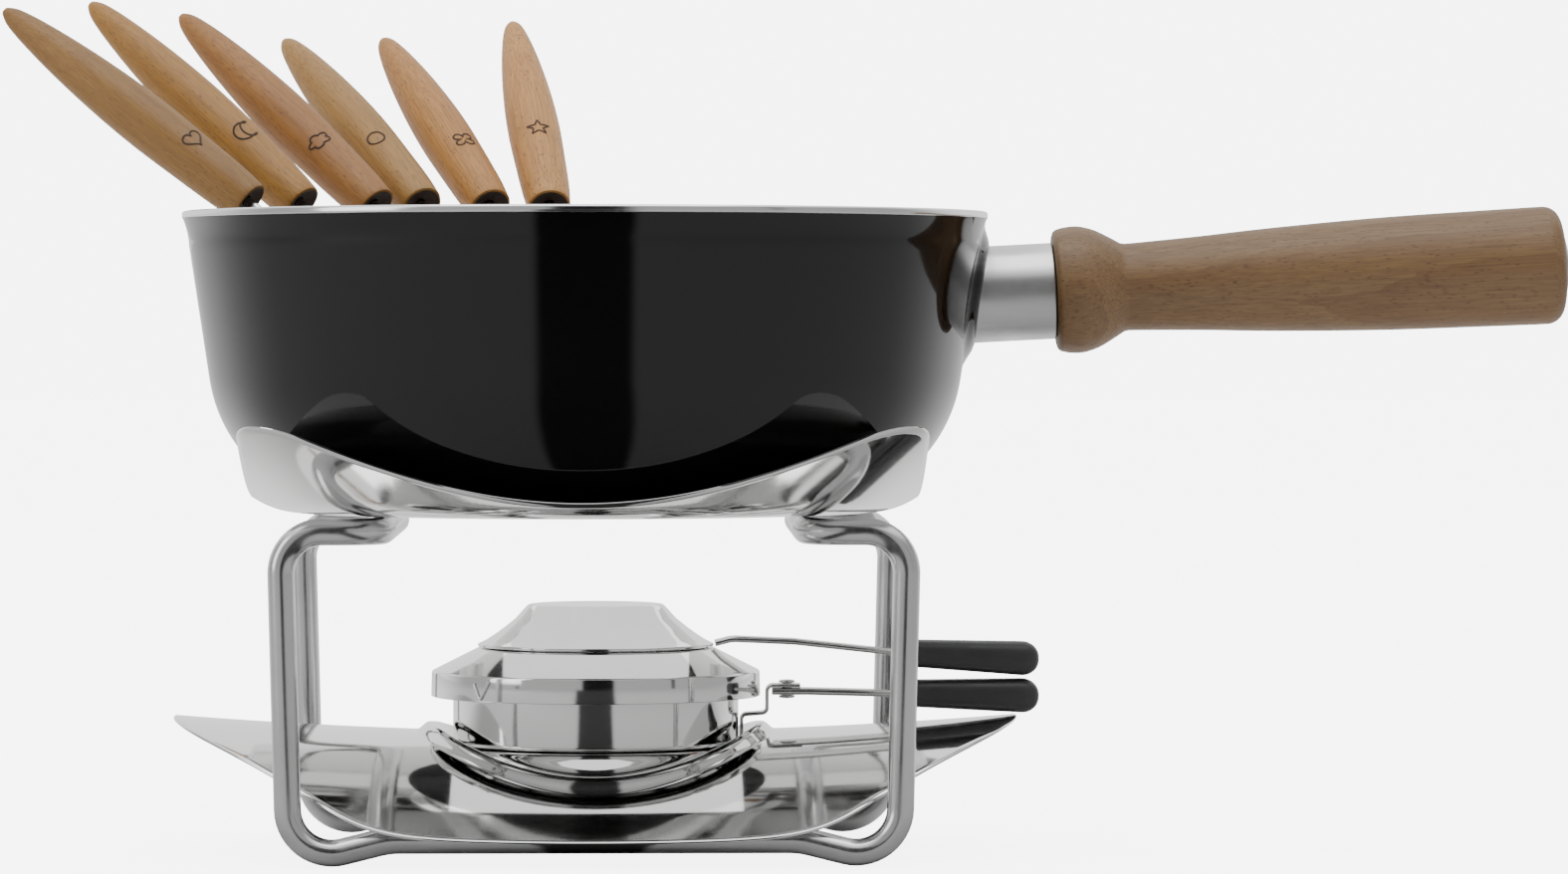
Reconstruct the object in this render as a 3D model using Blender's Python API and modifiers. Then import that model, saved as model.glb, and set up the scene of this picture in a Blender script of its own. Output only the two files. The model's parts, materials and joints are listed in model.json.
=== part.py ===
"""Fondue set: wire stand, pot support plate, drip tray, gel burner, enamelled pot and six forks."""

import math

import bmesh
import bpy
from mathutils import Matrix, Vector

MM = 0.001  # sizes below are in millimetres, heights are above the table

# fits
GAP = 0.3  # between pieces that touch
FREE = 0.4  # around a pin or tang in its hole

# stand, one bent and welded wire
WIRE_R = 4.0
WIRE_Y = 62.0  # front and back wires
TOP_BAR_X = 62.0  # the two bars that carry the plate
LEG_TOP_X = 91.5
LEG_FOOT_X = 89.0
STAND_TOP = 102.0
FLOOR_BAR_Z = 8.0  # middle of the low bars
FLOOR_BAR_X = 60.0
FOOT_SLOPE = 0.25
TOP_BEND_R = 12.0
FOOT_BEND_R = 13.0

# pot support plate, a square sheet with raised corners
SHEET = 1.0
PLATE_HALF = 100.0
PLATE_CORNER_R = 20.0
FLAME_HOLE_R = 52.0
DISH_START_R = 87.0
DISH_END_R = 100.0
DISH_SLOPE = 0.66

# drip tray, an arched sheet laid over the low bars
TRAY_HALF_LENGTH = 127.0
TRAY_OVAL_HALF = 82.0
TRAY_FLANK_TURN = 50.8  # direction of the slanting flank's normal, degrees from +X
TRAY_LEG_CLEAR = 1.1  # between the flank and the leg
TRAY_EDGE_OUT = 9.0  # how far the front edge hangs past the low bar
TRAY_TIP_RISE = 5.2
ARCH_R = 102.4
TRAY_SEAT_OUT = 1.5  # seat past the burner cup
TRAY_SEAT_DROP = 3.8  # seat below the arch's crest
TRAY_LIP = 2.4

# burner
CUP_R = 43.0
CUP_HEIGHT = 24.2
CUP_WALL = 0.8
TIN_HEIGHT = 18.0
COVER_OUT = 6.6  # cover's rim past the cup
COVER_SKIRT = 7.5
SHOULDER_IN = 7.5  # cover's flat top within the cup
SHOULDER_RISE = 7.0
BURNER_HOLE_R = 28.0
LID_TOP_IN = 15.3  # lid's flat top within its brim
LID_HEIGHT = 12.8
LID_BRIM = 0.9
GRIP_START = 45.4  # grips past the cover's rim
GRIP_LENGTH = 38.6
STRIP_WIDTH = 9.0
RIVET_R = 1.5
CUP_GRIP_RISE = 15.1  # grip's middle above the cup's base
CUP_GRIP_DROP = 0.8
LID_GRIP_RISE = 12.1  # lid grip's middle above the cup grip's
LID_GRIP_DROP = 1.8
GRIP_HALF_START = 4.1
GRIP_HALF_END = 5.3
GRIP_HALF_WIDTH = 6.6

# pot
POT_X = -3.0  # the pot stands a little off the burner's middle
POT_BASE_R = 68.4
POT_CORNER_R = 45.0
POT_WALL = 3.0
POT_WALL_LEAN = 8.6  # degrees
POT_LIP_DROP = 8.0
POT_LIP_OUT = 1.8
POT_HEIGHT = 86.5  # base to the top of the wall, without the rim ring
RIM_RING_HEIGHT = 1.9

# pot handle, on its own tilted axis
HANDLE_TILT = 2.97  # degrees above level
HANDLE_RISE = 65.0  # axis above the pot's base where the wood starts
HANDLE_OUT = 20.6  # wood start past the rim
FERRULE_R = 14.5
FERRULE_WALL = 1.5
BOSS_PAST = 2.5  # boss past the ferrule
BOSS_OUT = 1.2
COLLAR_PAST = 4.6  # wood's collar past the ferrule
NECK_R = 12.9
WOOD_END_R = 17.8
WOOD_LENGTH = 153.5
ROD_R = 3.0
WASHER_R = 9.6

# forks
FORK_LENGTH = 105.0  # wooden handle
FORK_HANDLE_R = 8.5
FORK_END_R = 6.9
SHANK_R = 1.5
SHANK_OUT = 132.0  # steel below the handle
TANG = 24.0
TINE_LENGTH = 27.0
TINE_HALF_SPAN = 2.6
TINE_R = 0.9
# place round the rim, lean direction and lean from upright in degrees, and steel shown above the rim
FORKS = {
    "heart": (60.7, 68.4, 54.2, 3.0),
    "crescent": (48.4, 58.3, 51.6, 2.9),
    "cloud": (34.0, 51.3, 53.1, 2.6),
    "ring": (26.0, 32.6, 57.8, 3.3),
    "clover": (15.0, 25.2, 57.1, 2.9),
    "star": (6.0, 9.3, 53.2, 2.9),
}

# facets
ROUND_SIDES = 40
SMALL_SIDES = 16


def clear_scene():
    for obj in list(bpy.data.objects):
        bpy.data.objects.remove(obj, do_unlink=True)


def make_collection(name):
    made = bpy.data.collections.new(name)
    bpy.context.scene.collection.children.link(made)
    return made


def make_material(name, color, roughness, metallic):
    material = bpy.data.materials.new(name)
    material.use_nodes = True
    shader = material.node_tree.nodes["Principled BSDF"]
    shader.inputs["Base Color"].default_value = (*color, 1.0)
    shader.inputs["Roughness"].default_value = roughness
    shader.inputs["Metallic"].default_value = metallic
    return material


def make_mesh_object(name, build, material=None, parent=None):
    """One object whose mesh is filled by build(bmesh), in millimetres."""
    shape = bmesh.new()
    build(shape)
    bmesh.ops.scale(shape, vec=(MM, MM, MM), verts=shape.verts)
    mesh = bpy.data.meshes.new(name)
    shape.to_mesh(mesh)
    shape.free()
    obj = bpy.data.objects.new(name, mesh)
    keep(obj, material, parent)
    return obj


def keep(obj, material, parent):
    """Files the object as a part, or as a cutter where it has no material."""
    if material is None:
        cutters.objects.link(obj)
        obj.hide_render = True
        obj.display_type = "WIRE"
    else:
        parts.objects.link(obj)
        obj.data.materials.append(material)
    if parent is not None:
        obj.parent = parent


def make_frame(name, place, turn=None, parent=None):
    """An empty that carries pieces, place in millimetres."""
    frame = bpy.data.objects.new(name, None)
    parts.objects.link(frame)
    frame.parent = parent
    matrix = Matrix.Translation(Vector(place) * MM)
    frame.matrix_basis = matrix @ turn.to_4x4() if turn else matrix
    return frame


def turned(name, profile, material=None, parent=None, sides=ROUND_SIDES, ring=False):
    """A turned piece from (radius, height) points that run down its outer side."""

    def build(shape):
        points = [shape.verts.new((radius, 0, height)) for radius, height in profile]
        pairs = list(zip(points, points[1:]))
        if ring:
            pairs.append((points[-1], points[0]))
        for pair in pairs:
            shape.edges.new(pair)

    obj = make_mesh_object(name, build, material, parent)
    screw = obj.modifiers.new("turn", "SCREW")
    screw.axis = "Z"
    screw.steps = sides
    screw.render_steps = sides
    screw.use_merge_vertices = True
    screw.merge_threshold = 1e-5
    screw.use_smooth_shade = True
    return obj


def join(obj, other, operation):
    step = obj.modifiers.new(operation.lower(), "BOOLEAN")
    step.operation = operation
    step.object = other
    step.solver = "EXACT"


def arc(centre, radius, start, end, steps):
    """Points of an arc, angles in degrees."""
    points = []
    for step in range(steps + 1):
        angle = math.radians(start + (end - start) * step / steps)
        points.append((centre[0] + radius * math.cos(angle), centre[1] + radius * math.sin(angle)))
    return points


def rounded_path(corners, steps):
    """A closed path through (point, bend radius) corners, each bend an arc of steps pieces."""
    path = []
    count = len(corners)
    for index, (corner, radius) in enumerate(corners):
        corner = Vector(corner)
        before = (Vector(corners[index - 1][0]) - corner).normalized()
        after = (Vector(corners[(index + 1) % count][0]) - corner).normalized()
        half = before.angle(after) / 2
        middle = corner + (before + after).normalized() * radius / math.sin(half)
        start = corner + before * radius / math.tan(half) - middle
        end = corner + after * radius / math.tan(half) - middle
        sweep = math.pi - 2 * half
        for step in range(steps + 1):
            share = sweep * step / steps
            weight_a = math.sin(sweep - share) / math.sin(sweep)
            weight_b = math.sin(share) / math.sin(sweep)
            path.append(middle + start * weight_a + end * weight_b)
    return path


def wire(name, path, radius, material=None, parent=None, closed=False, roundness=2):
    """A round wire along the path."""
    curve = bpy.data.curves.new(name, "CURVE")
    curve.dimensions = "3D"
    curve.bevel_depth = radius * MM
    curve.bevel_resolution = roundness
    curve.use_fill_caps = not closed
    spline = curve.splines.new("POLY")
    spline.points.add(len(path) - 1)
    for point, place in zip(spline.points, path):
        point.co = (*(Vector(place) * MM), 1.0)
    spline.use_cyclic_u = closed
    obj = bpy.data.objects.new(name, curve)
    keep(obj, material, parent)
    return obj


def as_mesh(curve_obj):
    """The curve object remade as a welded mesh object of the same name."""
    bpy.context.view_layer.update()
    graph = bpy.context.evaluated_depsgraph_get()
    mesh = bpy.data.meshes.new_from_object(curve_obj.evaluated_get(graph))
    shape = bmesh.new()
    shape.from_mesh(mesh)
    bmesh.ops.remove_doubles(shape, verts=shape.verts, dist=1e-6)
    bmesh.ops.recalc_face_normals(shape, faces=shape.faces)
    shape.to_mesh(mesh)
    shape.free()
    name = curve_obj.name
    parent = curve_obj.parent
    place = curve_obj.matrix_basis.copy()
    collection = curve_obj.users_collection[0]
    shown = not curve_obj.hide_render
    bpy.data.objects.remove(curve_obj, do_unlink=True)
    obj = bpy.data.objects.new(name, mesh)
    collection.objects.link(obj)
    obj.parent = parent
    obj.matrix_basis = place
    obj.hide_render = not shown
    if not shown:
        obj.display_type = "WIRE"
    return obj


def strip(name, path, thickness, width, material, parent):
    """A flat strip bent along (x, z) points, as wide as width along Y."""
    count = len(path)
    sides = []
    for index, point in enumerate(path):
        here = Vector(point)
        into = (here - Vector(path[index - 1])).normalized() if index else None
        out = (Vector(path[index + 1]) - here).normalized() if index < count - 1 else None
        into = into or out
        out = out or into
        normal = Vector((-into.y, into.x)) + Vector((-out.y, out.x))
        normal = normal.normalized()
        reach = thickness / 2 / normal.dot(Vector((-into.y, into.x)))
        sides.append((here + normal * reach, here - normal * reach))
    outline = [side[0] for side in sides] + [side[1] for side in reversed(sides)]
    curve = bpy.data.curves.new(name, "CURVE")
    curve.dimensions = "2D"
    curve.fill_mode = "BOTH"
    curve.extrude = width / 2 * MM
    spline = curve.splines.new("POLY")
    spline.points.add(len(outline) - 1)
    for point, place in zip(spline.points, outline):
        point.co = (place.x * MM, place.y * MM, 0, 1.0)
    spline.use_cyclic_u = True
    obj = bpy.data.objects.new(name, curve)
    obj.rotation_euler = (math.pi / 2, 0, 0)
    keep(obj, material, parent)
    return as_mesh(obj)


def box(name, low, high, material=None, parent=None):
    """A box between two corners."""

    def build(shape):
        bmesh.ops.create_cube(shape, size=1)
        for vert in shape.verts:
            share = vert.co + Vector((0.5, 0.5, 0.5))
            vert.co = [a + (b - a) * s for a, b, s in zip(low, high, share)]

    return make_mesh_object(name, build, material, parent)


def stand_height():
    """Middle of the wire at the top."""
    return STAND_TOP - WIRE_R


def make_stand():
    """The whole stand is one wire, bent and closed."""
    foot_z = FLOOR_BAR_Z - FOOT_SLOPE * (LEG_FOOT_X - FLOOR_BAR_X)
    top = stand_height()
    quarter = [
        ((FLOOR_BAR_X, -WIRE_Y, FLOOR_BAR_Z), 2 * FOOT_BEND_R),
        ((LEG_FOOT_X, -WIRE_Y, foot_z), FOOT_BEND_R),
        ((LEG_TOP_X, -WIRE_Y, top), TOP_BEND_R),
        ((TOP_BAR_X, -WIRE_Y, top), TOP_BEND_R),
    ]
    right_back = [((x, -y, z), bend) for (x, y, z), bend in reversed(quarter)]
    left_back = [((-x, -y, z), bend) for (x, y, z), bend in quarter]
    left_front = [((-x, y, z), bend) for (x, y, z), bend in reversed(quarter)]
    path = rounded_path(quarter + right_back + left_back + left_front, 5)
    wire("wire_stand", path, WIRE_R, steel, root, closed=True)


def dish_rise(radius):
    """How far the support plate has risen at a radius."""
    bend = DISH_END_R - DISH_START_R
    if radius <= DISH_START_R:
        return 0.0
    if radius <= DISH_END_R:
        return DISH_SLOPE * (radius - DISH_START_R) ** 2 / (2 * bend)
    return DISH_SLOPE * (bend / 2 + radius - DISH_END_R)


def make_support_plate():
    """A dished disc cut to a rounded square."""
    bottom = STAND_TOP + GAP
    reach = PLATE_HALF * math.sqrt(2)
    bend = [DISH_START_R + (DISH_END_R - DISH_START_R) * step / 3 for step in range(4)]
    radii = [FLAME_HOLE_R, *bend, reach]
    over = [(radius, bottom + SHEET + dish_rise(radius)) for radius in radii]
    under = [(radius, bottom + dish_rise(radius)) for radius in reversed(radii)]
    plate = turned("pot_support_plate", over + under, polished, pot_frame, 48, ring=True)

    def square(shape):
        bmesh.ops.create_cube(shape, size=1)
        for vert in shape.verts:
            vert.co.x *= 2 * PLATE_HALF
            vert.co.y *= 2 * PLATE_HALF
            vert.co.z = bottom + (vert.co.z + 0.25) * 4 * PLATE_HALF * DISH_SLOPE
        upright = [edge for edge in shape.edges if abs(edge.verts[0].co.z - edge.verts[1].co.z) > 1]
        bmesh.ops.bevel(
            shape, geom=upright, offset=PLATE_CORNER_R, offset_type="OFFSET", segments=4,
            profile=0.5, affect="EDGES",
        )

    join(plate, make_mesh_object("plate_square", square, None, pot_frame), "INTERSECT")


def tray_edge_y():
    return WIRE_Y + TRAY_EDGE_OUT


def tray_lean():
    """How steep the arch is over the low bars."""
    return math.asin(WIRE_Y / ARCH_R)


def tray_crest():
    """Top of the arch in the middle, where it just clears the low bars."""
    lean = tray_lean()
    over_bar = FLOOR_BAR_Z + (WIRE_R + GAP + SHEET) / math.cos(lean)
    return over_bar + ARCH_R * (1 - math.cos(lean))


def seat_height():
    """Top of the tray's round seat."""
    return tray_crest() - TRAY_SEAT_DROP


def tray_height(x, y):
    """Top of the tray: an arch, with straight aprons past the low bars."""
    lean = tray_lean()
    crest = tray_crest() + TRAY_TIP_RISE * (x / TRAY_HALF_LENGTH) ** 2
    y = abs(y)
    if y <= WIRE_Y:
        return crest - ARCH_R + math.sqrt(ARCH_R ** 2 - y ** 2)
    return crest - ARCH_R * (1 - math.cos(lean)) - math.tan(lean) * (y - WIRE_Y)


def tray_reach(angle):
    """Distance from the middle to the tray's outline: an oval, slanting flanks and straight edges."""
    across = abs(math.cos(angle))
    along = abs(math.sin(angle))
    turn = math.radians(TRAY_FLANK_TURN)
    leg = LEG_FOOT_X * math.cos(turn) + WIRE_Y * math.sin(turn)
    flank = leg - WIRE_R - TRAY_LEG_CLEAR
    limits = (
        math.hypot(across / TRAY_HALF_LENGTH, along / TRAY_OVAL_HALF),
        (across * math.cos(turn) + along * math.sin(turn)) / flank,
        along / tray_edge_y(),
    )
    return sum(limit ** 24 for limit in limits) ** (-1 / 24)


def make_tray():
    """An arched sheet with a level round seat pressed in its middle, and a lip round the seat."""
    seat = CUP_R + TRAY_SEAT_OUT
    seat_z = seat_height()
    rings = [(seat, 1, 0.0), (seat + 4.5, 0, 0.6 * TRAY_LIP), (seat + 6.5, 0, TRAY_LIP), (seat + 10, 0, 0.0)]
    sides = 56

    def build(shape):
        middle = shape.verts.new((0, 0, seat_z))
        loops = []
        for radius, level, lip in rings:
            loop = []
            for side in range(sides):
                angle = 2 * math.pi * side / sides
                x = radius * math.cos(angle)
                y = radius * math.sin(angle)
                height = seat_z * level + (tray_height(x, y) + lip) * (1 - level)
                loop.append(shape.verts.new((x, y, height)))
            loops.append(loop)
        steps = 5
        foot = rings[-1][0]
        for step in range(1, steps + 1):
            loop = []
            for side in range(sides):
                angle = 2 * math.pi * side / sides
                radius = foot + (tray_reach(angle) - foot) * step / steps
                x = radius * math.cos(angle)
                y = radius * math.sin(angle)
                loop.append(shape.verts.new((x, y, tray_height(x, y))))
            loops.append(loop)
        for side in range(sides):
            after = (side + 1) % sides
            shape.faces.new((middle, loops[0][side], loops[0][after]))
            for inner, outer in zip(loops, loops[1:]):
                shape.faces.new((inner[side], outer[side], outer[after], inner[after]))

    tray = make_mesh_object("drip_tray", build, polished, root)
    wall = tray.modifiers.new("sheet", "SOLIDIFY")
    wall.thickness = SHEET * MM
    wall.offset = -1
    wall.use_even_offset = True


def cup_base():
    return seat_height() + GAP


def cover_radius():
    return CUP_R + COVER_OUT


def shoulder_radius():
    return CUP_R - SHOULDER_IN


def cover_slope():
    return SHOULDER_RISE / (cover_radius() - shoulder_radius())


def shoulder_height(radius):
    """Top of the regulator cover's cone at a radius."""
    return cover_rim() + cover_slope() * (cover_radius() - radius)


def cover_rim():
    """Height where the cover's skirt meets its cone, so that the cone rests on the cup."""
    slope = cover_slope()
    thick = CUP_WALL * math.hypot(1, slope)
    return cup_base() + CUP_HEIGHT + GAP + thick - slope * COVER_OUT


def make_burner():
    """Cup, fuel tin, turning regulator cover and snuffer lid, one inside the other."""
    base = cup_base()
    inner = CUP_R - CUP_WALL
    floor = base + CUP_WALL
    brim = base + CUP_HEIGHT
    turned("burner_cup", [
        (0, floor), (inner, floor), (inner, brim), (CUP_R, brim), (CUP_R, base), (0, base),
    ], polished, burner)

    tin = inner - 2 * GAP
    tin_floor = floor + GAP
    paste = tin_floor + TIN_HEIGHT - 3
    turned("fuel_tin", [
        (0, paste), (tin - 4, paste), (tin - 4, paste + 3), (tin, paste + 3),
        (tin, tin_floor), (0, tin_floor),
    ], tinplate, burner, 32)

    rim = cover_rim()
    outer = cover_radius()
    shoulder = shoulder_radius()
    top = shoulder_height(shoulder)
    slope = cover_slope()
    under = CUP_WALL * math.hypot(1, slope)
    turned("regulator_cover", [
        (BURNER_HOLE_R, top), (shoulder, top), (outer, rim), (outer, rim - COVER_SKIRT),
        (outer - CUP_WALL, rim - COVER_SKIRT), (outer - CUP_WALL, rim - under + slope * CUP_WALL),
        (shoulder, top - under), (BURNER_HOLE_R, top - CUP_WALL),
    ], polished, burner, ring=True)

    seat = top + GAP
    turned("snuffer_lid", [(radius, seat + height) for radius, height in lid_profile()], polished, burner)


def lid_profile():
    """The lid's outer side from its flat top to its brim, and back along the inside."""
    brim = shoulder_radius()
    flat = brim - LID_TOP_IN
    cone = [(flat + 1.1, LID_HEIGHT - 1.8)]
    for share in (0.35, 0.65, 0.88):
        rise = LID_BRIM + (LID_HEIGHT - 1.8 - LID_BRIM) * (1 - share) ** 1.25
        cone.append((flat + 1.1 + (LID_TOP_IN - 1.1) * share, rise))
    outer = [(0, LID_HEIGHT), (flat - 1.2, LID_HEIGHT), (flat + 0.3, LID_HEIGHT - 0.5), *cone]
    inner = [(radius - 0.5, height - CUP_WALL) for radius, height in reversed(cone)]
    edge = [(brim, LID_BRIM), (brim, 0), (brim - 2.5, 0)]
    return outer + edge + inner + [(flat - 1.5, LID_HEIGHT - CUP_WALL), (0, LID_HEIGHT - CUP_WALL)]


def grip_start():
    return cover_radius() + GRIP_START


def make_grip(name, centre_z, drop, tang):
    """A tapered soft grip with a pocket for the tang, which reaches tang into it."""
    start = grip_start()

    def build(shape):
        bmesh.ops.create_cube(shape, size=1)
        for vert in shape.verts:
            share = vert.co.x + 0.5
            half = GRIP_HALF_START + (GRIP_HALF_END - GRIP_HALF_START) * share
            vert.co.x = start + GRIP_LENGTH * share
            vert.co.y *= 2 * GRIP_HALF_WIDTH
            vert.co.z = centre_z - drop * share + 2 * half * vert.co.z

    grip = make_mesh_object(name, build, soft_black, burner)
    rounding = grip.modifiers.new("rounding", "BEVEL")
    rounding.width = 0.7 * GRIP_HALF_START * MM
    rounding.segments = 3
    slope = drop / GRIP_LENGTH
    reach = tang + FREE
    half = 1.0 + FREE + slope * reach
    pocket = box(
        name + "_pocket",
        (start - 5, -STRIP_WIDTH / 2 - FREE, centre_z - half),
        (start + reach, STRIP_WIDTH / 2 + FREE, centre_z + half), None, burner,
    )
    join(grip, pocket, "DIFFERENCE")


def make_rivet(name, x, middle_z, grip_thickness):
    """A rivet with two low domed heads, its hole left to the strips."""
    half = grip_thickness / 2 + GAP
    head = 2 * RIVET_R
    profile = [
        (0, half + 1.0), (head * 0.7, half + 0.7), (head, half), (RIVET_R, half),
        (RIVET_R, -half), (head, -half), (head * 0.7, -half - 0.7), (0, -half - 1.0),
    ]
    rivet = turned(name, profile, steel, burner, 12)
    rivet.location = Vector((x, 0, middle_z)) * MM
    drill = turned(name + "_drill", [
        (0, 8), (RIVET_R + FREE, 8), (RIVET_R + FREE, -8), (0, -8),
    ], None, burner, 12)
    drill.location = Vector((x, 0, middle_z)) * MM
    return drill


def make_burner_handles():
    """The cup's carrying handle and the lid's handle, each a steel strip with a soft grip."""
    tang = 8.0
    foot = cup_base() + 2.0
    skirt_clear = cover_radius() + 2.0
    grip_z = cup_base() + CUP_GRIP_RISE
    neck = grip_start() - 4
    bend_z = grip_z + 2.5
    bracket_end = skirt_clear + 10
    low = cover_rim() - COVER_SKIRT - 6.2
    bracket = strip("cup_handle_bracket", [
        (CUP_R + FREE + 0.5, foot), (CUP_R + FREE + 0.5, low), (skirt_clear, low + 0.6),
        (skirt_clear, bend_z), (bracket_end, bend_z),
    ], 1.0, STRIP_WIDTH, steel, burner)
    rail_top = bend_z - 0.5 - GAP
    rail = strip("cup_handle_rail", [
        (skirt_clear + 1.5, rail_top - 1.0), (bracket_end + 2, rail_top - 1.0),
        (neck, grip_z), (neck + 4 + tang, grip_z - CUP_GRIP_DROP * tang / GRIP_LENGTH),
    ], 2.0, STRIP_WIDTH, steel, burner)
    drill = make_rivet("cup_handle_rivet", bracket_end - 4, bend_z - 1.15, 3.3)
    join(bracket, drill, "DIFFERENCE")
    join(rail, drill, "DIFFERENCE")
    make_grip("cup_grip", grip_z, CUP_GRIP_DROP, tang)

    lid_z = grip_z + LID_GRIP_RISE
    shoulder = shoulder_radius()
    brim = shoulder_height(shoulder) + GAP
    strip("lid_handle_strip", [
        (shoulder + FREE, brim + 0.9), (shoulder + 5.5, brim + 2.5), (cover_radius() + 10, brim + 1.4),
        (neck, lid_z + 0.2), (neck + 4 + tang, lid_z - LID_GRIP_DROP * tang / GRIP_LENGTH),
    ], 1.8, STRIP_WIDTH, steel, burner)
    make_grip("lid_grip", lid_z, LID_GRIP_DROP, tang)


def pot_base():
    return STAND_TOP + SHEET + 2 * GAP


def pot_outline(offset):
    """The pot's outer side from the rim down to its base, moved outwards by offset."""
    lean = math.radians(POT_WALL_LEAN)
    top = pot_base() + POT_HEIGHT
    corner_middle = (POT_BASE_R, pot_base() + POT_CORNER_R)
    corner = arc(corner_middle, POT_CORNER_R + offset, -POT_WALL_LEAN, -90, 6)
    neck_z = top - POT_LIP_DROP
    neck_r = corner[0][0] + (neck_z - corner[0][1]) * math.tan(lean)
    lip = [(neck_r + POT_LIP_OUT, top), (neck_r + 0.3 * POT_LIP_OUT, top - POT_LIP_DROP / 2)]
    return [*lip, (neck_r, neck_z), *corner]


def rim_radius():
    return pot_outline(0)[0][0]


def make_pot(handle_turn, handle_place):
    """The enamelled pot with its handle boss, and the bright ring round its rim."""
    base = pot_base()
    outer = pot_outline(0)
    inner = pot_outline(-POT_WALL)
    pot = turned("pot_body", capped(outer), enamel, pot_frame, 48)
    boss_r = FERRULE_R + BOSS_PAST
    boss = turned("pot_boss", [(0, 4), (boss_r, 4), (boss_r, -45), (0, -45)], None, pot_frame, 24)
    boss.matrix_basis = Matrix.Translation(handle_place * MM) @ handle_turn.to_4x4()
    skin = turned("boss_skin", capped(pot_outline(BOSS_OUT)), None, pot_frame, 48)
    join(boss, skin, "INTERSECT")
    hollow = turned("pot_hollow", capped(inner, 10), None, pot_frame, 48)
    join(pot, boss, "UNION")
    join(pot, hollow, "DIFFERENCE")

    top = base + POT_HEIGHT + GAP
    out = rim_radius() + 0.3
    width = POT_WALL + 0.5
    ring_height = RIM_RING_HEIGHT
    turned("pot_rim_ring", [
        (out - width * 0.5, top + ring_height), (out - width * 0.15, top + ring_height * 0.8),
        (out, top + ring_height * 0.35), (out - 0.2, top), (out - width + 0.2, top),
        (out - width, top + ring_height * 0.35), (out - width * 0.85, top + ring_height * 0.8),
    ], steel, pot_frame, 48, ring=True)


def capped(outline, above=0.0):
    """The outline closed on the axis, and carried straight up by above."""
    first = (outline[0][0], outline[0][1] + above)
    side = [first, *outline] if above else outline
    return [(0, first[1]), *side, (0, outline[-1][1])]


def make_pot_handle(handle_turn, handle_place):
    """Ferrule, turned wooden grip, tie rod, washer and end screw, all on the handle's axis."""
    handle = make_frame("handle_axis", handle_place, handle_turn, pot_frame)
    ferrule_in = FERRULE_R - FERRULE_WALL
    ferrule = turned("handle_ferrule", [
        (FERRULE_R, -GAP), (FERRULE_R, -40), (ferrule_in, -40), (ferrule_in, -GAP),
    ], brushed, handle, 24, ring=True)
    wall = turned("ferrule_seat", capped(pot_outline(BOSS_OUT + GAP), 10), None, pot_frame, 48)
    join(ferrule, wall, "DIFFERENCE")

    bore = ROD_R + FREE
    end = WOOD_LENGTH
    collar = FERRULE_R + COLLAR_PAST
    wood = [
        (bore, 0), (collar - 1.8, 0), (collar - 0.7, 1.2), (collar, 6), (collar - 1.3, 12.5),
        (collar - 3.8, 17), (collar - 6, 20.2), (NECK_R, 22.5), (NECK_R + 2.7, 64),
        (WOOD_END_R, end - 7.5), (WOOD_END_R - 2, end - 2), (WOOD_END_R - 6.5, end), (bore, end),
    ]
    turned("handle_grip", list(reversed(wood)), beech, handle, 24, ring=True)
    wall_face = handle_place[0] - rim_radius()
    rod_end = end - 6
    turned("tie_rod", [
        (0, rod_end), (ROD_R, rod_end), (ROD_R, -wall_face), (0, -wall_face),
    ], steel, handle, 12)
    hole = 2.0 + FREE
    washer_base = end + GAP
    turned("end_washer", [
        (hole, washer_base + 1.6), (WASHER_R * 0.6, washer_base + 1.3), (WASHER_R, washer_base + 0.4),
        (WASHER_R, washer_base), (hole, washer_base),
    ], steel, handle, 24, ring=True)
    head = washer_base + 1.6 + GAP
    turned("end_screw", [
        (0, head + 1.4), (2.4, head + 1.1), (3.4, head), (2.0, head),
        (2.0, rod_end + GAP), (0, rod_end + GAP),
    ], steel, handle, SMALL_SIDES)


def fork_frame(place_angle, lean_angle, lean, above_rim):
    """Where a fork rests on the rim ring, and its axis."""
    place, toward, tilt = (math.radians(value) for value in (place_angle, lean_angle, lean))
    ring_r = rim_radius() + 0.3 - (POT_WALL + 0.5) / 2
    ring_z = pot_base() + POT_HEIGHT + GAP + RIM_RING_HEIGHT / 2
    contact = Vector((-ring_r * math.sin(place), ring_r * math.cos(place), ring_z))
    tangent = Vector((-math.cos(place), -math.sin(place), 0))
    away = math.sin(tilt)
    axis = Vector((-away * math.sin(toward), away * math.cos(toward), math.cos(tilt)))
    normal = axis.cross(tangent).normalized()
    normal *= 1 if normal.z > 0 else -1
    reach = SHANK_R + (POT_WALL + 0.5) / 2 + GAP
    flat = Vector((0, 0, 1)).cross(axis).normalized()
    turn = Matrix((flat, axis.cross(flat), axis)).transposed()
    return contact + normal * reach + axis * above_rim, turn


def fork_steel():
    """The mesh all forks share: a shank with a tang, ending in two tines."""
    foot = SHANK_OUT - TINE_LENGTH
    bar = [(0, 0, TANG), (0, 0, -foot - TINE_R)]
    shank = as_mesh(wire("shank", bar, SHANK_R, steel, None, roundness=1))
    span = TINE_HALF_SPAN
    tines = [(span, 0, -SHANK_OUT), (span, 0, -foot - 3.4), (0.5 * span, 0, -foot - 1)]
    path = tines + [(-x, y, z) for x, y, z in reversed(tines)]
    prongs = as_mesh(wire("prongs", path, TINE_R, None, None, roundness=1))
    join(shank, prongs, "UNION")
    bpy.context.view_layer.update()
    graph = bpy.context.evaluated_depsgraph_get()
    mesh = bpy.data.meshes.new_from_object(shank.evaluated_get(graph))
    for obj in (shank, prongs):
        bpy.data.objects.remove(obj, do_unlink=True)
    return mesh


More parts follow.
